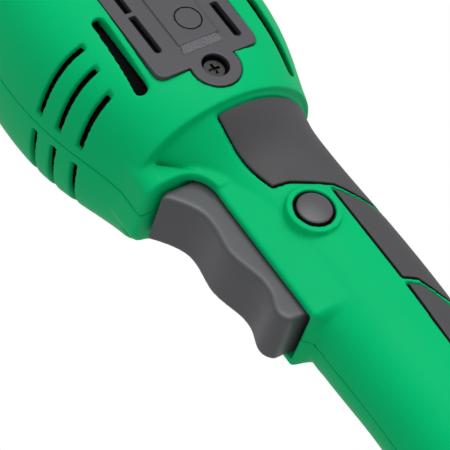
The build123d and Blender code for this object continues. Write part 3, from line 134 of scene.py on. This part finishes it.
# ---------------------------------------------------------------- finishes
class Finish:
    """A material with its shader's plain values set, and short ways to add its pattern."""

    def __init__(self, name, colour, roughness, metallic=0.0, **plain):
        self.material = bpy.data.materials.new(name)
        self.material.use_nodes = True
        self.tree = self.material.node_tree
        self.shader = self.tree.nodes["Principled BSDF"]
        self.shader.inputs["Base Color"].default_value = (*colour, 1)
        self.shader.inputs["Roughness"].default_value = roughness
        self.shader.inputs["Metallic"].default_value = metallic
        for socket, value in plain.items():
            self.shader.inputs[socket.replace("_", " ")].default_value = value
        self.place = self.tree.nodes.new("ShaderNodeTexCoord").outputs["Object"]
        self.colour = colour
        self.relief = None

    def link(self, source, target):
        """Joins two sockets."""
        self.tree.links.new(source, target)

    def stretched(self, scale):
        """The object's own coordinates, squeezed along each axis."""
        mapping = self.tree.nodes.new("ShaderNodeMapping")
        mapping.inputs["Scale"].default_value = scale
        self.link(self.place, mapping.inputs["Vector"])
        return mapping.outputs["Vector"]

    def noise(self, per_metre, detail=2.0, roughness=0.5, stretch=None):
        """Cloudy pattern of a given fineness."""
        node = self.tree.nodes.new("ShaderNodeTexNoise")
        node.inputs["Scale"].default_value = per_metre
        node.inputs["Detail"].default_value = detail
        node.inputs["Roughness"].default_value = roughness
        self.link(self.stretched(stretch) if stretch else self.place, node.inputs["Vector"])
        return node.outputs["Fac"]

    def cells(self, per_metre):
        """Pattern of round grains."""
        node = self.tree.nodes.new("ShaderNodeTexVoronoi")
        node.inputs["Scale"].default_value = per_metre
        self.link(self.place, node.inputs["Vector"])
        return node.outputs["Distance"]

    def bands(self, per_metre, direction, distortion=0.0):
        """Pattern of even bands across one direction."""
        node = self.tree.nodes.new("ShaderNodeTexWave")
        node.bands_direction = direction
        node.inputs["Scale"].default_value = per_metre
        node.inputs["Distortion"].default_value = distortion
        self.link(self.place, node.inputs["Vector"])
        return node.outputs["Fac"]

    def tones(self, pattern, darker, lighter):
        """Base colour that wanders between two tones of the finish's colour."""
        ramp = self.tree.nodes.new("ShaderNodeValToRGB")
        low, high = ramp.color_ramp.elements
        low.position = 0.3
        high.position = 0.7
        low.color = (*[c * darker for c in self.colour], 1)
        high.color = (*[c * lighter for c in self.colour], 1)
        self.link(pattern, ramp.inputs["Fac"])
        self.link(ramp.outputs["Color"], self.shader.inputs["Base Color"])

    def sheen_range(self, pattern, low, high):
        """Roughness that wanders between two values."""
        span = self.tree.nodes.new("ShaderNodeMapRange")
        span.inputs["From Min"].default_value = 0.25
        span.inputs["From Max"].default_value = 0.75
        span.inputs["To Min"].default_value = low
        span.inputs["To Max"].default_value = high
        self.link(pattern, span.inputs["Value"])
        self.link(span.outputs["Result"], self.shader.inputs["Roughness"])

    def grain(self, pattern, depth):
        """Relief of a pattern, its depth in metres; each call lies over the one before."""
        bump = self.tree.nodes.new("ShaderNodeBump")
        bump.inputs["Distance"].default_value = depth
        bump.inputs["Strength"].default_value = 1.0
        self.link(pattern, bump.inputs["Height"])
        if self.relief:
            self.link(self.relief, bump.inputs["Normal"])
        self.relief = bump.outputs["Normal"]
        self.link(self.relief, self.shader.inputs["Normal"])

    def rounded(self, radius):
        """Moulded or machined edges, softened over a small radius."""
        node = self.tree.nodes.new("ShaderNodeBevel")
        node.samples = 4
        node.inputs["Radius"].default_value = radius
        self.relief = node.outputs["Normal"]
        self.link(self.relief, self.shader.inputs["Normal"])


def moulded(name, colour, roughness, grain_size, grain_depth, edge=0.3 * MM, tone=0.06, shine=0.5):
    """Moulded plastic: faint flow tones, slightly uneven gloss and an eroded grain."""
    finish = Finish(name, colour, roughness, Specular_IOR_Level=shine)
    finish.rounded(edge)
    finish.tones(finish.noise(18.0, detail=3.0), 1 - tone, 1 + tone)
    finish.sheen_range(finish.noise(60.0, detail=3.0), roughness - 0.04, roughness + 0.04)
    finish.grain(finish.noise(1.0 / grain_size, detail=3.0, roughness=0.6), grain_depth)
    finish.grain(finish.cells(0.45 / grain_size), grain_depth * 0.5)
    return finish.material


def rubber(name, colour):
    """Soft overmoulded grip with a stippled grain."""
    grain_size = 0.42 * MM
    finish = Finish(name, colour, 0.62, Specular_IOR_Level=0.45)
    finish.tones(finish.noise(1.4 / grain_size, detail=4.0, roughness=0.7), 0.82, 1.18)
    finish.sheen_range(finish.noise(45.0, detail=2.0), 0.54, 0.68)
    finish.grain(finish.cells(1.0 / grain_size), 0.05 * MM)
    finish.grain(finish.noise(2.2 / grain_size, detail=3.0), 0.04 * MM)
    return finish.material


def stippled(name, colour):
    """Coarsely spark-eroded patch whose grains glint."""
    finish = Finish(name, colour, 0.34)
    finish.tones(finish.noise(2400.0, detail=3.0, roughness=0.7), 0.6, 2.2)
    finish.sheen_range(finish.noise(1800.0, detail=2.0), 0.2, 0.5)
    finish.grain(finish.cells(1500.0), 0.25 * MM)
    finish.grain(finish.noise(2600.0, detail=2.0), 0.12 * MM)
    return finish.material


def turned_steel(name, colour=(0.56, 0.56, 0.58), roughness=0.28, edge=0.15 * MM):
    """Ground or turned metal with fine tool lines."""
    finish = Finish(name, colour, roughness, metallic=1.0)
    finish.rounded(edge)
    lines = finish.noise(900.0, detail=4.0, stretch=(1, 8, 8))
    finish.tones(finish.noise(120.0, detail=4.0), 0.88, 1.08)
    finish.sheen_range(lines, roughness - 0.06, roughness + 0.12)
    finish.grain(lines, 0.01 * MM)
    return finish.material


def cast_metal(name, colour):
    """Blasted die casting with a faint skin."""
    roughness = 0.45
    finish = Finish(name, colour, roughness, metallic=1.0)
    finish.rounded(0.5 * MM)
    finish.tones(finish.noise(90.0, detail=5.0, roughness=0.65), 0.85, 1.1)
    finish.sheen_range(finish.noise(300.0, detail=3.0), roughness - 0.06, roughness + 0.1)
    finish.grain(finish.noise(1600.0, detail=4.0), 0.06 * MM)
    finish.grain(finish.noise(220.0, detail=2.0), 0.12 * MM)
    return finish.material


def drawn_tube(name):
    """Anodised tube with faint drawing lines along it."""
    finish = Finish(name, (0.34, 0.35, 0.37), 0.32, metallic=1.0)
    lines = finish.noise(700.0, detail=5.0, stretch=(0.02, 1, 1))
    finish.tones(lines, 0.93, 1.06)
    finish.sheen_range(finish.noise(40.0, detail=4.0, stretch=(0.2, 1, 1)), 0.26, 0.38)
    finish.grain(lines, 0.012 * MM)
    return finish.material


def laminated(name):
    """Stack of thin sheets, edge on, pressed along the motor's axis."""
    finish = Finish(name, (0.27, 0.27, 0.28), 0.42, metallic=1.0)
    sheets = finish.bands(320.0, "X")
    finish.tones(finish.noise(260.0, detail=3.0, stretch=(6, 1, 1)), 0.7, 1.15)
    finish.sheen_range(finish.noise(150.0), 0.34, 0.52)
    finish.grain(sheets, 0.08 * MM)
    return finish.material


def wound_copper(name):
    """Enamelled wire laid in turns, with varnish over it."""
    finish = Finish(name, (0.48, 0.17, 0.06), 0.3, metallic=0.85, Coat_Weight=0.5, Coat_Roughness=0.15)
    wires = finish.bands(420.0, "DIAGONAL", distortion=1.2)
    finish.tones(wires, 0.55, 1.15)
    finish.sheen_range(finish.noise(200.0), 0.24, 0.42)
    finish.grain(wires, 0.12 * MM)
    return finish.material


def nylon_line(name):
    """Extruded cutting line, slightly clear and twisted."""
    finish = Finish(name, (0.78, 0.23, 0.02), 0.34, Subsurface_Weight=0.15, Subsurface_Scale=0.001)
    finish.tones(finish.noise(240.0, detail=2.0), 0.9, 1.08)
    finish.grain(finish.noise(900.0, detail=2.0), 0.03 * MM)
    return finish.material


def make_finishes():
    """One finish for each material slot of the record, and two for the small pieces of the housing: a
    stippled ramp, and a near-black lining that paints shade in gaps and recesses.
    """
    return {
        "housing_green": moulded("housing_green", (0.0, 0.425, 0.142), 0.42, 0.30 * MM, 0.012 * MM,
                                 tone=0.03, shine=0.04),
        "grip_rubber": rubber("grip_rubber", (0.047, 0.045, 0.049)),
        "dark_plastic": moulded("dark_plastic", (0.046, 0.045, 0.053), 0.46, 0.28 * MM, 0.02 * MM),
        "trigger_plastic": moulded("trigger_plastic", (0.056, 0.057, 0.064), 0.40, 0.30 * MM, 0.014 * MM),
        # near-black lining: painted shade for gaps, recesses, slots and vents
        "painted_shade_lining": moulded("painted_shade_lining", (0.0035, 0.0035, 0.004), 0.75, 0.30 * MM, 0.02 * MM,
                               shine=0.05),
        "stippled_ramp": stippled("stippled_ramp", (0.060, 0.058, 0.066)),
        "black_plastic": moulded("black_plastic", (0.022, 0.022, 0.024), 0.44, 0.30 * MM, 0.016 * MM),
        "guard_plastic": moulded("guard_plastic", (0.028, 0.028, 0.031), 0.5, 0.45 * MM, 0.03 * MM,
                                 edge=0.5 * MM),
        "bush_plastic": moulded("bush_plastic", (0.62, 0.60, 0.53), 0.45, 0.30 * MM, 0.01 * MM),
        "steel": turned_steel("steel"),
        "black_steel": turned_steel("black_steel", (0.06, 0.058, 0.056), 0.36, edge=0.1 * MM),
        "brass": turned_steel("brass", (0.72, 0.50, 0.18), 0.3),
        "laminations": laminated("laminations"),
        "copper": wound_copper("copper"),
        "carbon": moulded("carbon", (0.02, 0.02, 0.022), 0.55, 0.2 * MM, 0.02 * MM, edge=0.1 * MM),
        "aluminium": cast_metal("aluminium", (0.60, 0.61, 0.63)),
        "tube_aluminium": drawn_tube("tube_aluminium"),
        "line_nylon": nylon_line("line_nylon"),
    }


def dress_cad_nodes(finishes):
    """Gives each carried-over solid the finish of its slot."""
    for name, slot in slot_of.items():
        node = nodes[name]
        node.data.materials.clear()
        node.data.materials.append(finishes[slot])


# ---------------------------------------------------------------- forms, meshes and pieces
def as_mesh(name, form):
    """Mesh of a finished form."""
    mesh = bpy.data.meshes.new(name)
    form.to_mesh(mesh)
    form.free()
    return mesh


def shade_smooth(mesh):
    """Shades all of a mesh's faces as one rounded surface."""
    mesh.polygons.foreach_set("use_smooth", [True] * len(mesh.polygons))


def as_piece(name, mesh, body, finish):
    """New object of the tool that rides on a body."""
    piece = bpy.data.objects.new(name, mesh)
    bpy.context.scene.collection.objects.link(piece)
    mesh.materials.clear()
    mesh.materials.append(finish)
    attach(piece, body)
    return piece


def new_piece(name, form, body, slot, finishes, look=None):
    """Finished form as a piece of the tool, in its slot's finish unless another look is named."""
    bmesh.ops.recalc_face_normals(form, faces=form.faces)
    return as_piece(name, as_mesh(name, form), body, finishes[look or slot])


def new_shade_lining(name, form, finishes):
    """Near-black lining inside the housing, painted shade for a gap, recess or slot."""
    return new_piece(name, form, "trimmer_frame", "black_plastic", finishes, "painted_shade_lining")


def copy_of_solid(name, node, finishes):
    """Piece with a solid's shape, body and finish, its loose triangles joined up."""
    form = bmesh.new()
    form.from_mesh(nodes[node].data)
    bmesh.ops.remove_doubles(form, verts=form.verts, dist=0.001 * MM)
    slot = slot_of[node]
    return as_piece(name, as_mesh(name, form), nodes[node]["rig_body"], finishes[slot])


def middle_of(low, high):
    """Middle of a box."""
    return tuple((start + end) / 2 for start, end in zip(low, high))


def add_block(form, size, middle):
    """Adds a box to a form and returns its corners."""
    corners = bmesh.ops.create_cube(form, size=1.0)["verts"]
    bmesh.ops.scale(form, verts=corners, vec=size)
    bmesh.ops.translate(form, verts=corners, vec=middle)
    return corners


def add_outline(form, points, closed):
    """Adds a line through a row of points to a form and returns its edges."""
    corners = [form.verts.new(point) for point in points]
    ends = corners[1:] + corners[:1] if closed else corners[1:]
    return [form.edges.new(pair) for pair in zip(corners, ends)]


def join_outlines(form, outlines):
    """Skins a form over a row of outlines."""
    for outline, after in zip(outlines, outlines[1:]):
        bmesh.ops.bridge_loops(form, edges=outline + after)


def revolved(profile, middle):
    """Ring turned about an axis along Y through a point; its profile's points are radius and Y."""
    form = bmesh.new()
    add_outline(form, [(radius, along, 0) for radius, along in profile], closed=True)
    bmesh.ops.spin(form, geom=form.verts[:] + form.edges[:], cent=(0, 0, 0), axis=(0, 1, 0), angle=math.tau,
                   steps=72, use_merge=True)
    bmesh.ops.translate(form, verts=form.verts, vec=middle)
    return form


# ---------------------------------------------------------------- surroundings
def lay_floor():
    """Plain pale floor under the tool, well below the grip."""
    half_width, floor_z = 9.0, -0.62
    form = bmesh.new()
    bmesh.ops.create_grid(form, x_segments=1, y_segments=1, size=half_width)
    bmesh.ops.translate(form, verts=form.verts, vec=(0, 0, floor_z))
    mesh = as_mesh("floor", form)
    floor = bpy.data.objects.new("floor", mesh)
    bpy.context.scene.collection.objects.link(floor)
    paint = Finish("floor_paint", (0.78, 0.78, 0.77), 0.7)
    paint.tones(paint.noise(1.5, detail=3.0), 0.98, 1.02)
    mesh.materials.append(paint.material)


# ---------------------------------------------------------------- mouldings with softened edges
def settled(piece):
    """Applies a piece's modifiers to its mesh."""
    depsgraph = bpy.context.evaluated_depsgraph_get()
    mesh = bpy.data.meshes.new_from_object(piece.evaluated_get(depsgraph))
    piece.modifiers.clear()
    piece.data = mesh
    shade_smooth(mesh)


def softened(name, node, voxel, rounds, keep, finishes):
    """Copy of a solid, evenly remeshed, its edges eased over some rounds, shaped and thinned out."""
    piece = copy_of_solid(name, node, finishes)
    even = piece.modifiers.new("even", "REMESH")
    even.mode = "VOXEL"
    even.voxel_size = voxel
    even.use_smooth_shade = True
    ease = piece.modifiers.new("ease", "SMOOTH")
    ease.factor = 0.5
    ease.iterations = rounds
    if node in SHAPED:
        settled(piece)
        SHAPED[node](piece)
    thin = piece.modifiers.new("thin", "DECIMATE")
    thin.ratio = keep
    settled(piece)
    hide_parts(node)
    return piece


def points_of(mesh):
    """All of a mesh's points as rows of x, y, z."""
    places = np.empty(len(mesh.vertices) * 3)
    mesh.vertices.foreach_get("co", places)
    return places.reshape(-1, 3)


def put_points(mesh, places):
    """Moves all of a mesh's points to new places."""
    mesh.vertices.foreach_set("co", places.ravel())
    mesh.update()


def eased_where(piece, weights, rounds):
    """Eases a piece over some rounds, as strongly at each point as its weight says."""
    group = piece.vertex_groups.new(name="eased")
    for index in np.flatnonzero(weights > 0):
        group.add([int(index)], float(min(weights[index], 1.0)), "REPLACE")
    ease = piece.modifiers.new("ease", "SMOOTH")
    ease.factor = 0.5
    ease.iterations = rounds
    ease.vertex_group = "eased"
    settled(piece)
    piece.vertex_groups.clear()


def ease_flare(piece):
    """Eases the folds where the body, the trigger's guard and the grip run into each other."""
    front_x, rear_x, top_z, fade, rounds = -66 * MM, -18 * MM, -4 * MM, 8 * MM, 24
    places = points_of(piece.data)
    inside = np.minimum(np.minimum(places[:, 0] - front_x, rear_x - places[:, 0]), top_z - places[:, 2])
    eased_where(piece, inside / fade, rounds)


def end_slot_rim(piece):
    """Runs the rear end of the rim round the trigger's slot down into the grip's oval."""
    start_x, end_x, far_x = 31.9 * MM, 36.0 * MM, 46.0 * MM
    half_width, half_height, squareness, top_z = 21.0 * MM, 25.15 * MM, 2.5, -6 * MM
    places = points_of(piece.data)
    near = (places[:, 0] > start_x) & (places[:, 0] < far_x) & (places[:, 2] < top_z)
    rim = places[near]
    swell = (np.abs(rim[:, 1]) / half_width) ** squareness + (-rim[:, 2] / half_height) ** squareness
    share = np.clip((rim[:, 0] - start_x) / (end_x - start_x), 0, 1)
    share = share * share * (3 - 2 * share)
    pull = np.where(swell > 1, 1 + share * (swell ** (-1 / squareness) - 1), 1)
    rim[:, 1:] *= pull[:, None]
    places[near] = rim
    put_points(piece.data, places)


def open_seam(piece, way):
    """Draws a housing half back from the middle plane, so that a fine dark line parts the two."""
    gap = 0.2 * MM
    places = points_of(piece.data)
    places[:, 1] = way * np.maximum(way * places[:, 1], gap)
    put_points(piece.data, places)


def widen_button_hole(piece):
    """Opens the mouth of the collar a little round the lock button."""
    middle_x, _, middle_z = middle_of(*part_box("lock_button"))
    rim, far, wider, deep_y = 7.6 * MM, 9.4 * MM, 0.4 * MM, -12 * MM
    places = points_of(piece.data)
    across, up = places[:, 0] - middle_x, places[:, 2] - middle_z
    away = np.hypot(across, up)
    push = wider * np.clip((far - away) / (far - rim), 0, 1) * (places[:, 1] < deep_y) / np.maximum(away, MM)
    places[:, 0] += across * push
    places[:, 2] += up * push
    put_points(piece.data, places)


def shape_left_half(piece):
    """Left half of the housing, with the lock button's collar."""
    ease_flare(piece)
    end_slot_rim(piece)
    widen_button_hole(piece)
    open_seam(piece, -1)


def shape_right_half(piece):
    """Right half of the housing."""
    ease_flare(piece)
    end_slot_rim(piece)
    open_seam(piece, 1)


def round_finger_ridge(piece):
    """Rounds the trigger's ridges generously where the finger lies, below the rim of its slot."""
    rim_z, full_z, rounds = -27.5 * MM, -31.0 * MM, 36
    places = points_of(piece.data)
    eased_where(piece, (rim_z - places[:, 2]) / (rim_z - full_z), rounds)


def crown_button(piece):
    """Stands the lock button a little proud and gives its face a shallow crown."""
    low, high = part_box("lock_button")
    middle_x, _, middle_z = middle_of(low, high)
    reach, rise, proud, face_depth = 6.6 * MM, 0.7 * MM, 0.5 * MM, 1.2 * MM
    places = points_of(piece.data)
    away = np.hypot(places[:, 0] - middle_x, places[:, 2] - middle_z)
    face = places[:, 1] < low[1] + face_depth
    places[:, 1] += face * (rise * np.minimum(away / reach, 1) ** 2 - proud)
    put_points(piece.data, places)


SHAPED = {
    "housing_left": shape_left_half,
    "housing_right": shape_right_half,
    "trigger": round_finger_ridge,
    "lock_button": crown_button,
}

# piece, voxel, rounds of easing and share of the triangles kept
MOULDINGS = [
    ("housing_left", 0.5 * MM, 6, 0.2),
    ("housing_right", 0.5 * MM, 6, 0.2),
    ("trigger", 0.45 * MM, 9, 0.5),
    *[(f"{place}_pad_{side}", 0.3 * MM, 3, 0.35) for place in ("neck", "palm", "rear") for side, _ in SIDES],
    ("brush_cover_left", 0.25 * MM, 3, 0.3),
    ("brush_cover_right", 0.25 * MM, 3, 0.3),
    ("lock_button", 0.2 * MM, 4, 0.4),
    ("shaft_collar", 0.5 * MM, 3, 0.25),
    ("strap_ring", 0.4 * MM, 3, 0.4),
    ("loop_clamp_upper", 0.45 * MM, 3, 0.4),
    ("loop_clamp_lower", 0.45 * MM, 3, 0.4),
    ("loop_knob", 0.35 * MM, 3, 0.5),
    ("gear_case", 0.6 * MM, 3, 0.25),
    ("spool_case", 0.55 * MM, 2, 0.25),
    ("bump_knob", 0.5 * MM, 3, 0.35),
]


def lay_pad_shade_bed(node, pad, finishes):
    """Black bed under a soft pad, painted shade that shows as a fine dark line round it."""
    spread, sink, grip_z = 0.72 * MM, 1.3 * MM, -5 * MM
    mesh = pad.data.copy()
    mesh.name = f"{node}_bed"
    normals = [vertex.normal.copy() for vertex in mesh.vertices]
    for vertex, normal in zip(mesh.vertices, normals):
        place = vertex.co + normal * spread
        inward = Vector((0, -place.y, grip_z - place.z)).normalized()
        vertex.co = place + inward * sink
    as_piece(f"{node}_bed", mesh, "trimmer_frame", finishes["painted_shade_lining"])


def soften_mouldings(finishes):
    """The mouldings and castings with eased edges, and black beds of painted shade under the soft pads."""
    for node, voxel, rounds, keep in MOULDINGS:
        piece = softened(f"{node}_moulding", node, voxel, rounds, keep, finishes)
        if "_pad_" in node:
            lay_pad_shade_bed(node, piece, finishes)


# ---------------------------------------------------------------- small pieces of the housing, and dark pieces that paint the shade in its gaps, recesses and slots
def cover_place(side, way):
    """X of a brush cover's rear end, Y of its raised band's face and height of its middle."""
    low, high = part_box(f"brush_cover_{side}")
    band_face = low[1] if way < 0 else high[1]
    return high[0], band_face, (low[2] + high[2]) / 2


def fit_cover_ramps(finishes):
    """Stippled ramp that runs down from each brush cover's raised band."""
    front_inset, rear_inset, rise = 23.4 * MM, 17.4 * MM, 1.0 * MM
    width, flare, sink, fall, thick, edge = 13.2 * MM, 4.0 * MM, 0.1 * MM, 0.55 * MM, 0.8 * MM, 0.12 * MM
    for side, way in SIDES:
        end_x, band_face, middle_z = cover_place(side, way)
        front, rear = end_x - front_inset, end_x - rear_inset
        form = bmesh.new()
        bmesh.ops.create_cube(form, size=1.0)
        bmesh.ops.subdivide_edges(form, edges=form.edges, cuts=1, use_grid_fill=True)
        for vertex in form.verts:
            along = vertex.co.x + 0.5
            depth = sink + fall * along + thick * (0.5 - way * vertex.co.y)
            vertex.co = (front + (rear - front) * along, band_face - way * depth,
                         middle_z + rise + vertex.co.z * (width + flare * along))
        bmesh.ops.bevel(form, geom=form.edges[:], offset=edge, segments=2, profile=0.5, material=-1,
                        affect="EDGES")
        new_piece(f"cover_ramp_{side}", form, "trimmer_frame", "dark_plastic", finishes, "stippled_ramp")


def fit_cover_ring(side, way, finishes):
    """Dark ring pressed into a brush cover, painted shade in its ring groove."""
    end_x, band_face, middle_z = cover_place(side, way)
    inset, rise, radius = 30.2 * MM, 3.0 * MM, 4.9 * MM
    half_wide, proud, deep = 0.24 * MM, 0.04 * MM, 0.4 * MM
    inner, outer = radius - half_wide, radius + half_wide
    face, floor = band_face + way * proud, band_face - way * deep
    profile = [(inner, floor), (inner, face), (outer, face), (outer, floor)]
    new_shade_lining(f"groove_shade_ring_{side}", revolved(profile, (end_x - inset, 0, middle_z + rise)), finishes)


def fit_screw_well(side, way, finishes):
    """Black well round a brush cover's screw, painted shade in its recess: a thin wall, and a seat under the
    screw's head.
    """
    end_x, band_face, middle_z = cover_place(side, way)
    inset, outer, inner, hole = 9.2 * MM, 4.98 * MM, 4.72 * MM, 3.95 * MM
    mouth, seat, floor = (band_face - way * depth for depth in (1.5 * MM, 5.15 * MM, 5.3 * MM))
    profile = [(outer, mouth), (outer, floor), (hole, floor), (hole, seat), (inner, seat), (inner, mouth)]
    new_shade_lining(f"screw_recess_shade_{side}", revolved(profile, (end_x - inset, 0, middle_z)), finishes)


def fit_dust_screen(side, way, finishes):
    """Dark sheet behind a brush cover's slots, painted shade that makes them look dark."""
    low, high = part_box(f"brush_cover_{side}")
    _, band_face, middle_z = cover_place(side, way)
    shorter, lower, thick, forward, behind = 24 * MM, 5 * MM, 0.8 * MM, 8 * MM, 4.2 * MM
    form = bmesh.new()
    add_block(form, (high[0] - low[0] - shorter, thick, high[2] - low[2] - lower),
              (middle_of(low, high)[0] - forward, band_face - way * behind, middle_z))
    new_shade_lining(f"slot_shade_sheet_{side}", form, finishes)


def fit_cover_shades(finishes):
    """Painted shade of each brush cover: ring, screw well and dark sheet behind its slots."""
    for side, way in SIDES:
        fit_cover_ring(side, way, finishes)
        fit_screw_well(side, way, finishes)
        fit_dust_screen(side, way, finishes)


def fit_button_sleeves(finishes):
    """Black sleeve in the collar round the lock button and black flank of the button itself, painted shade
    on the button's side and in the gap round it.
    """
    low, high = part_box("lock_button")
    middle_x, _, middle_z = middle_of(low, high)
    deep = low[1] + 6.0 * MM

    def sleeve(outer, inner, sunk):
        mouth = low[1] + sunk
        profile = [(outer, mouth), (outer, deep), (inner, deep), (inner, mouth)]
        return revolved(profile, (middle_x, 0, middle_z))

    new_shade_lining("button_gap_shade", sleeve(outer=8.3 * MM, inner=7.0 * MM, sunk=1.5 * MM), finishes)
    flank = new_piece("button_flank_shade", sleeve(outer=6.66 * MM, inner=6.2 * MM, sunk=0.45 * MM), "lock",
                      slot_of["lock_button"], finishes, "painted_shade_lining")
    shade_smooth(flank.data)


# near-black air guide that paints the shade inside the vents, in millimetres: station, lowest z, half width,
# squareness, height of the belt
GUIDE_SECTIONS = [
    (-104.0, -57.0, 35.4, 3.4, -14.0),
    (-85.0, -56.6, 35.4, 3.4, -14.0),
    (-68.0, -52.6, 35.2, 3.0, -16.0),
    (-58.0, -49.2, 34.8, 2.6, -18.0),
]


def guide_section(station, lowest, half_width, squareness, belt):
    """Points of the air guide's lower half oval at one station."""
    steps = 48
    for step in range(steps + 1):
        turn = math.pi * (1 + step / steps)
        across = math.copysign(abs(math.cos(turn)) ** (2 / squareness), math.cos(turn))
        down = abs(math.sin(turn)) ** (2 / squareness)
        yield station * MM, across * half_width * MM, (belt - down * (belt - lowest)) * MM


def fit_air_guide(finishes):
    """Black trough close inside the vents and low slots, shaped as an air guide to the fan, that paints the
    shade inside them.
    """
    rim_z, wall = -34 * MM, 1.2 * MM
    form = bmesh.new()
    sections = [add_outline(form, guide_section(*section), closed=False) for section in GUIDE_SECTIONS]
    join_outlines(form, sections)
    bmesh.ops.bisect_plane(form, geom=form.verts[:] + form.edges[:] + form.faces[:], plane_co=(0, 0, rim_z),
                           plane_no=(0, 0, 1), clear_outer=True)
    bmesh.ops.recalc_face_normals(form, faces=form.faces)
    bmesh.ops.solidify(form, geom=form.faces[:], thickness=wall)
    new_shade_lining("vent_shade_guide", form, finishes)


# ---------------------------------------------------------------- springs
def fit_spring(node, finishes):
    """Copy of a spring with a mesh of its own, in place of the solid."""
    spring = copy_of_solid(f"{node}_coil", node, finishes)
    shade_smooth(spring.data)
    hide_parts(node)
    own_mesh(spring)


def fit_springs(finishes):
    """The springs of the trigger, the lock button and the bump knob."""
    fit_spring("trigger_spring", finishes)
    fit_spring("lock_spring", finishes)
    fit_spring("bump_spring", finishes)


# ---------------------------------------------------------------- front handle and cutting head
def circle_points(middle, outward, beside, radius, sides):
    """Points of a circle that lies in the plane of two directions."""
    for side in range(sides):
        turn = math.tau * side / sides
        yield middle + outward * (radius * math.cos(turn)) + beside * (radius * math.sin(turn))


def loop_place(far, side_y, top_z, corner):
    """Y, Z and turn of the loop's bar at a length along it from the middle of its top."""
    straight, bend = side_y - corner, corner * math.pi / 2
    if far <= straight:
        return far, top_z, 0.0
    if far <= straight + bend:
        turn = (far - straight) / corner
        return straight + corner * math.sin(turn), top_z - corner * (1 - math.cos(turn)), turn
    return side_y, top_z - corner - (far - straight - bend), math.pi / 2


def fit_loop_sleeve(finishes):
    """Ribbed soft sleeve over the top of the front handle's loop."""
    low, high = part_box("loop_handle")
    bar, corner, tail = 9.0 * MM, 34.0 * MM, 26 * MM
    bare, thick, groove, pitch, lead = 8.9 * MM, 10.9 * MM, 0.9 * MM, 6.0 * MM, 3.0 * MM
    sides, step = 32, 0.75 * MM
    middle_x, side_y, top_z = middle_of(low, high)[0], high[1] - bar, high[2] - bar
    half = side_y - corner + corner * math.pi / 2 + tail
    count = round(2 * half / step)
    form = bmesh.new()
    rings = []
    for index in range(count + 1):
        along = -half + 2 * half * index / count
        way, far = math.copysign(1, along), abs(along)
        y, z, turn = loop_place(far, side_y, top_z, corner)
        middle = Vector((middle_x, way * y, z))
        outward = Vector((0, way * math.sin(turn), math.cos(turn)))
        end = half - far
        wave = max(0.0, math.cos(math.tau * far / pitch)) ** 3 if end > 2 * lead else 0.0
        radius = bare + (thick - bare) * min(end / lead, 1.0) ** 0.5 - groove * wave
        points = circle_points(middle, outward, Vector((1, 0, 0)), radius, sides)
        rings.append(add_outline(form, points, closed=True))
    join_outlines(form, rings)
    bmesh.ops.holes_fill(form, edges=form.edges[:], sides=sides)
    sleeve = new_piece("loop_sleeve", form, "loop", "grip_rubber", finishes)
    shade_smooth(sleeve.data)


def in_head_frame(form):
    """Moves a form from the cutting head's own frame, upright on its axis, into the tool's."""
    tilt = math.radians(45)
    turn = Matrix.Rotation(tilt, 4, "Y")
    bmesh.ops.transform(form, matrix=Matrix.Translation((HEAD_X, 0, MOTOR_Z)) @ turn, verts=form.verts)
    return form


def fit_case_ribs(finishes):
    """Upright ribs round the spool's case, clear of its two eyelets."""
    ribs, radius, proud, wide, edge = 24, 47.6 * MM, 1.5 * MM, 2.0 * MM, 0.5 * MM
    low_z, high_z = -60.0 * MM, -46.5 * MM
    form = bmesh.new()
    for rib in range(ribs):
        turn = math.tau * (rib + 0.5) / ribs
        corners = add_block(form, (2 * proud, wide, high_z - low_z), (radius, 0, (low_z + high_z) / 2))
        bmesh.ops.rotate(form, verts=corners, matrix=Matrix.Rotation(turn, 3, "Z"))
    bmesh.ops.bevel(form, geom=form.edges[:], offset=edge, segments=2, profile=0.5, material=-1,
                    affect="EDGES")
    new_piece("case_ribs", in_head_frame(form), "cutting_head", slot_of["spool_case"], finishes)


def fit_guard_bead(finishes):
    """Rounded bead along the lower edge of the guard's skirt."""
    radius, edge_z, thick, half_angle = 154.6 * MM, -65.5 * MM, 2.3 * MM, math.radians(69.4)
    sides, steps = 12, 96
    outward = Vector((math.cos(half_angle), -math.sin(half_angle), 0))
    middle = outward * radius + Vector((0, 0, edge_z))
    form = bmesh.new()
    add_outline(form, circle_points(middle, outward, Vector((0, 0, 1)), thick, sides), closed=True)
    bmesh.ops.spin(form, geom=form.verts[:] + form.edges[:], cent=(0, 0, 0), axis=(0, 0, 1),
                   angle=2 * half_angle, steps=steps)
    bmesh.ops.holes_fill(form, edges=form.edges[:], sides=sides)
    bead = new_piece("guard_bead", in_head_frame(form), "trimmer_frame", slot_of["guard"], finishes)
    shade_smooth(bead.data)


axes = place_camera()
light_studio(*axes)
finishes = make_finishes()
dress_cad_nodes(finishes)
soften_mouldings(finishes)
fit_cover_ramps(finishes)
fit_cover_shades(finishes)
fit_button_sleeves(finishes)
fit_air_guide(finishes)
fit_springs(finishes)
fit_loop_sleeve(finishes)
fit_case_ribs(finishes)
fit_guard_bead(finishes)
lay_floor()
